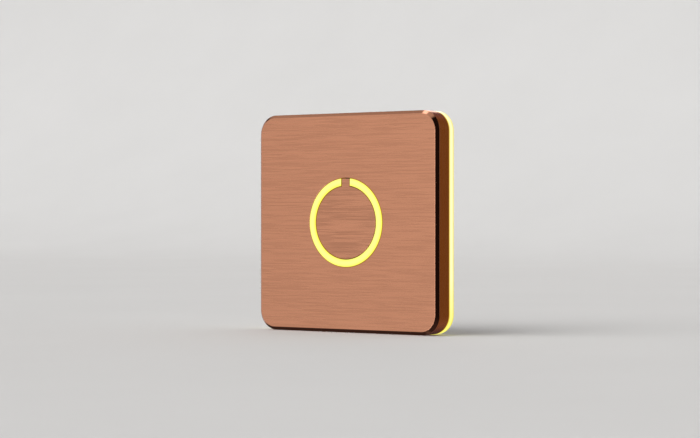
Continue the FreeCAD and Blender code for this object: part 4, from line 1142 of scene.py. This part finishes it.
@dataclass
class Stage:
    """Pale floor that sweeps up behind, soft studio light and the camera of the photograph."""

    floor: float = -40.15  # level of the floor, in mm
    half_width: float = 4000.0
    front: float = 4000.0
    turn_start: float = 1000.0  # how far behind the wall plane the floor starts to rise
    turn_radius: float = 700.0
    top: float = 2600.0
    floor_rows: int = 11
    turn_rows: int = 40
    paper: tuple[Triple, Triple] = ((0.66, 0.655, 0.64), (0.70, 0.695, 0.68))
    lens: float = 104.475
    sensor: float = 36.0
    target: Triple = (1.99, -10.5, 1.295)
    yaw: float = 35.448
    pitch: float = 0.026
    distance: float = 738.68

    def build(self) -> None:
        """Makes the sweep, the lights and the camera."""
        self.sweep()
        self.lights()
        self.camera()
        bpy.context.scene.view_settings.view_transform = "Standard"
        bpy.context.scene.view_settings.look = "None"

    def sweep(self) -> None:
        """Floor, quarter-round and backdrop: one section carried straight across."""
        angle = np.linspace(0, np.pi / 2, self.turn_rows)
        run = np.concatenate([
            np.linspace(-self.front, self.turn_start, self.floor_rows + 1)[:-1],
            self.turn_start + self.turn_radius * np.sin(angle),
            [self.turn_start + self.turn_radius],
        ])
        rise = np.concatenate([
            np.full(self.floor_rows, self.floor),
            self.floor + self.turn_radius * (1 - np.cos(angle)),
            [self.top],
        ])
        across = np.linspace(-self.half_width, self.half_width, 9)
        grid = np.stack(np.broadcast_arrays(across[:, None], run[None], rise[None]), -1)
        points = grid.reshape(-1, 3) * MM
        index = np.arange(len(points)).reshape(grid.shape[:2])
        quads = np.stack([index[:-1, :-1], index[1:, :-1], index[1:, 1:], index[:-1, 1:]], -1)
        mesh = bpy.data.meshes.new("studio_sweep")
        mesh.from_pydata(points.tolist(), [], quads.reshape(-1, 4).tolist())
        mesh.shade_smooth()
        s = Shader("pale_paper", Roughness=0.9)
        s.drive("Base Color", s.blend(s.noise((9, 9, 9), detail=4.0), *self.paper))
        s.relief(s.noise((900, 900, 900), detail=2.0), 2e-5, 0.3)
        mesh.materials.append(s.material)
        sweep = placed("studio_sweep", mesh)
        sweep.visible_glossy = False

    def lights(self) -> None:
        """Even light from the upper left, less from the right behind, and what the metal reflects."""
        for name, toward, strength, spread in (
            ("key_light", (-0.35, -0.65, 0.75), 1.7, 50.0),
            ("fill_light", (0.6, 0.55, 0.7), 0.6, 80.0),
        ):
            data = bpy.data.lights.new(name, "SUN")
            data.energy, data.angle = strength, np.radians(spread)
            lamp = placed(name, data)
            lamp.rotation_euler = (-Vector(toward)).to_track_quat("-Z", "Y").to_euler()
            lamp.visible_glossy = False
        self.surroundings()

    def surroundings(self) -> None:
        """World by direction: soft panels added up, each falling off with the angle from its middle."""
        world = bpy.data.worlds.new("soft_studio")
        bpy.context.scene.world = world
        world.use_nodes = True
        n = Nodes(world.node_tree)
        n.tree.nodes.clear()
        direction = n.add("TexCoord").outputs["Generated"]
        total = DIM
        for middle, wide, soft, colour in PANELS:
            cosine = n.vector("DOT_PRODUCT", direction, Vector(middle).normalized())
            inside, outside = np.cos(np.radians((wide, wide + soft)))
            edge = n.add("MapRange", {0: cosine, 1: outside, 2: inside}, interpolation_type="SMOOTHSTEP")
            total = n.blend(1.0, total, n.blend(edge.outputs[0], (0.0, 0.0, 0.0), colour), "ADD")
        seen = n.add("LightPath").outputs["Is Camera Ray"]
        background = n.add("Background", {"Color": n.blend(seen, total, BACKDROP), "Strength": 1.0})
        output = n.add("OutputWorld")
        n.tree.links.new(background.outputs[0], output.inputs[0])

    def camera(self) -> None:
        """Camera on the object's right, level with it, as fitted to the photograph."""
        yaw, pitch = np.radians(self.yaw), np.radians(self.pitch)
        back = Vector((np.sin(yaw) * np.cos(pitch), -np.cos(yaw) * np.cos(pitch), np.sin(pitch)))
        data = bpy.data.cameras.new("camera")
        data.lens, data.sensor_width = self.lens, self.sensor
        data.clip_start, data.clip_end = 0.01, 50.0
        camera = placed("camera", data)
        camera.location = (Vector(self.target) + back * self.distance) * MM
        camera.rotation_euler = (-back).to_track_quat("-Z", "Y").to_euler()
        bpy.context.scene.camera = camera


# Middle direction, width and soft edge in degrees, and colour of each panel of the surroundings.
PANELS = (
    ((-0.62, -0.78, 0.1), 50, 25, (0.535, 0.53, 0.535)),
    ((-0.28, -0.94, 0.14), 8, 26, (0.20,) * 3),
    ((0.3, -0.954, -0.02), 8, 7, (2.1, 2.1, 2.25)),
    ((-0.1, -0.87, -0.48), 9, 8, (1.8, 1.8, 1.9)),
    ((-0.62, 0, 0.79), 14, 22, (0.235, 0.225, 0.22)),
    ((-0.34, -0.14, 0.93), 6, 8, (1.5, 1.6, 1.8)),
    ((0.05, -0.32, 0.95), 7, 14, (0.5, 0.49, 0.49)),
    ((-0.53, 0.815, 0.22), 9, 7, (2.2, 1.9, 1.7)),
    ((-0.22, 0.82, 0.53), 14, 14, (0.13, 0.07, 0.08)),
    ((0.45, 0.86, 0), 26, 30, (0.170, 0.090, 0.015)),
    ((-0.815, 0.58, 0), 14, 14, (0.42, 0.40, 0.40)),
    ((1, 0.12, 0.05), 10, 10, (0.35, 0.34, 0.34)),
    ((-0.05, 0.3, 0.95), 18, 10, (0.32,) * 3),
    ((0, 0.15, -0.98), 14, 10, (0.16, 0.155, 0.15)),
    ((0, 0.78, -0.62), 20, 25, (0.05, 0.03, 0.04)),
    ((0.9, 0.3, 0.35), 15, 20, (0.3,) * 3),
    ((0, 0, -1), 30, 60, (0.03, 0.024, 0.026)),
)
DIM = (0.012, 0.009, 0.009)  # light from every direction, under the panels
BACKDROP = (0.62, 0.615, 0.60)  # colour that the camera sees beyond the sweep


def main() -> None:
    """Builds every piece in order, then the stage."""
    logging.basicConfig(level=logging.INFO, format="%(name)s: %(message)s")
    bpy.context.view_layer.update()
    CarriedNodes().build()
    for part in (CoverShell(), LightBand(), LightRing(), ButtonDisc(), WallTray(), SealRing()):
        part.build()
    Stage().build()


if __name__ == "__main__":
    main()
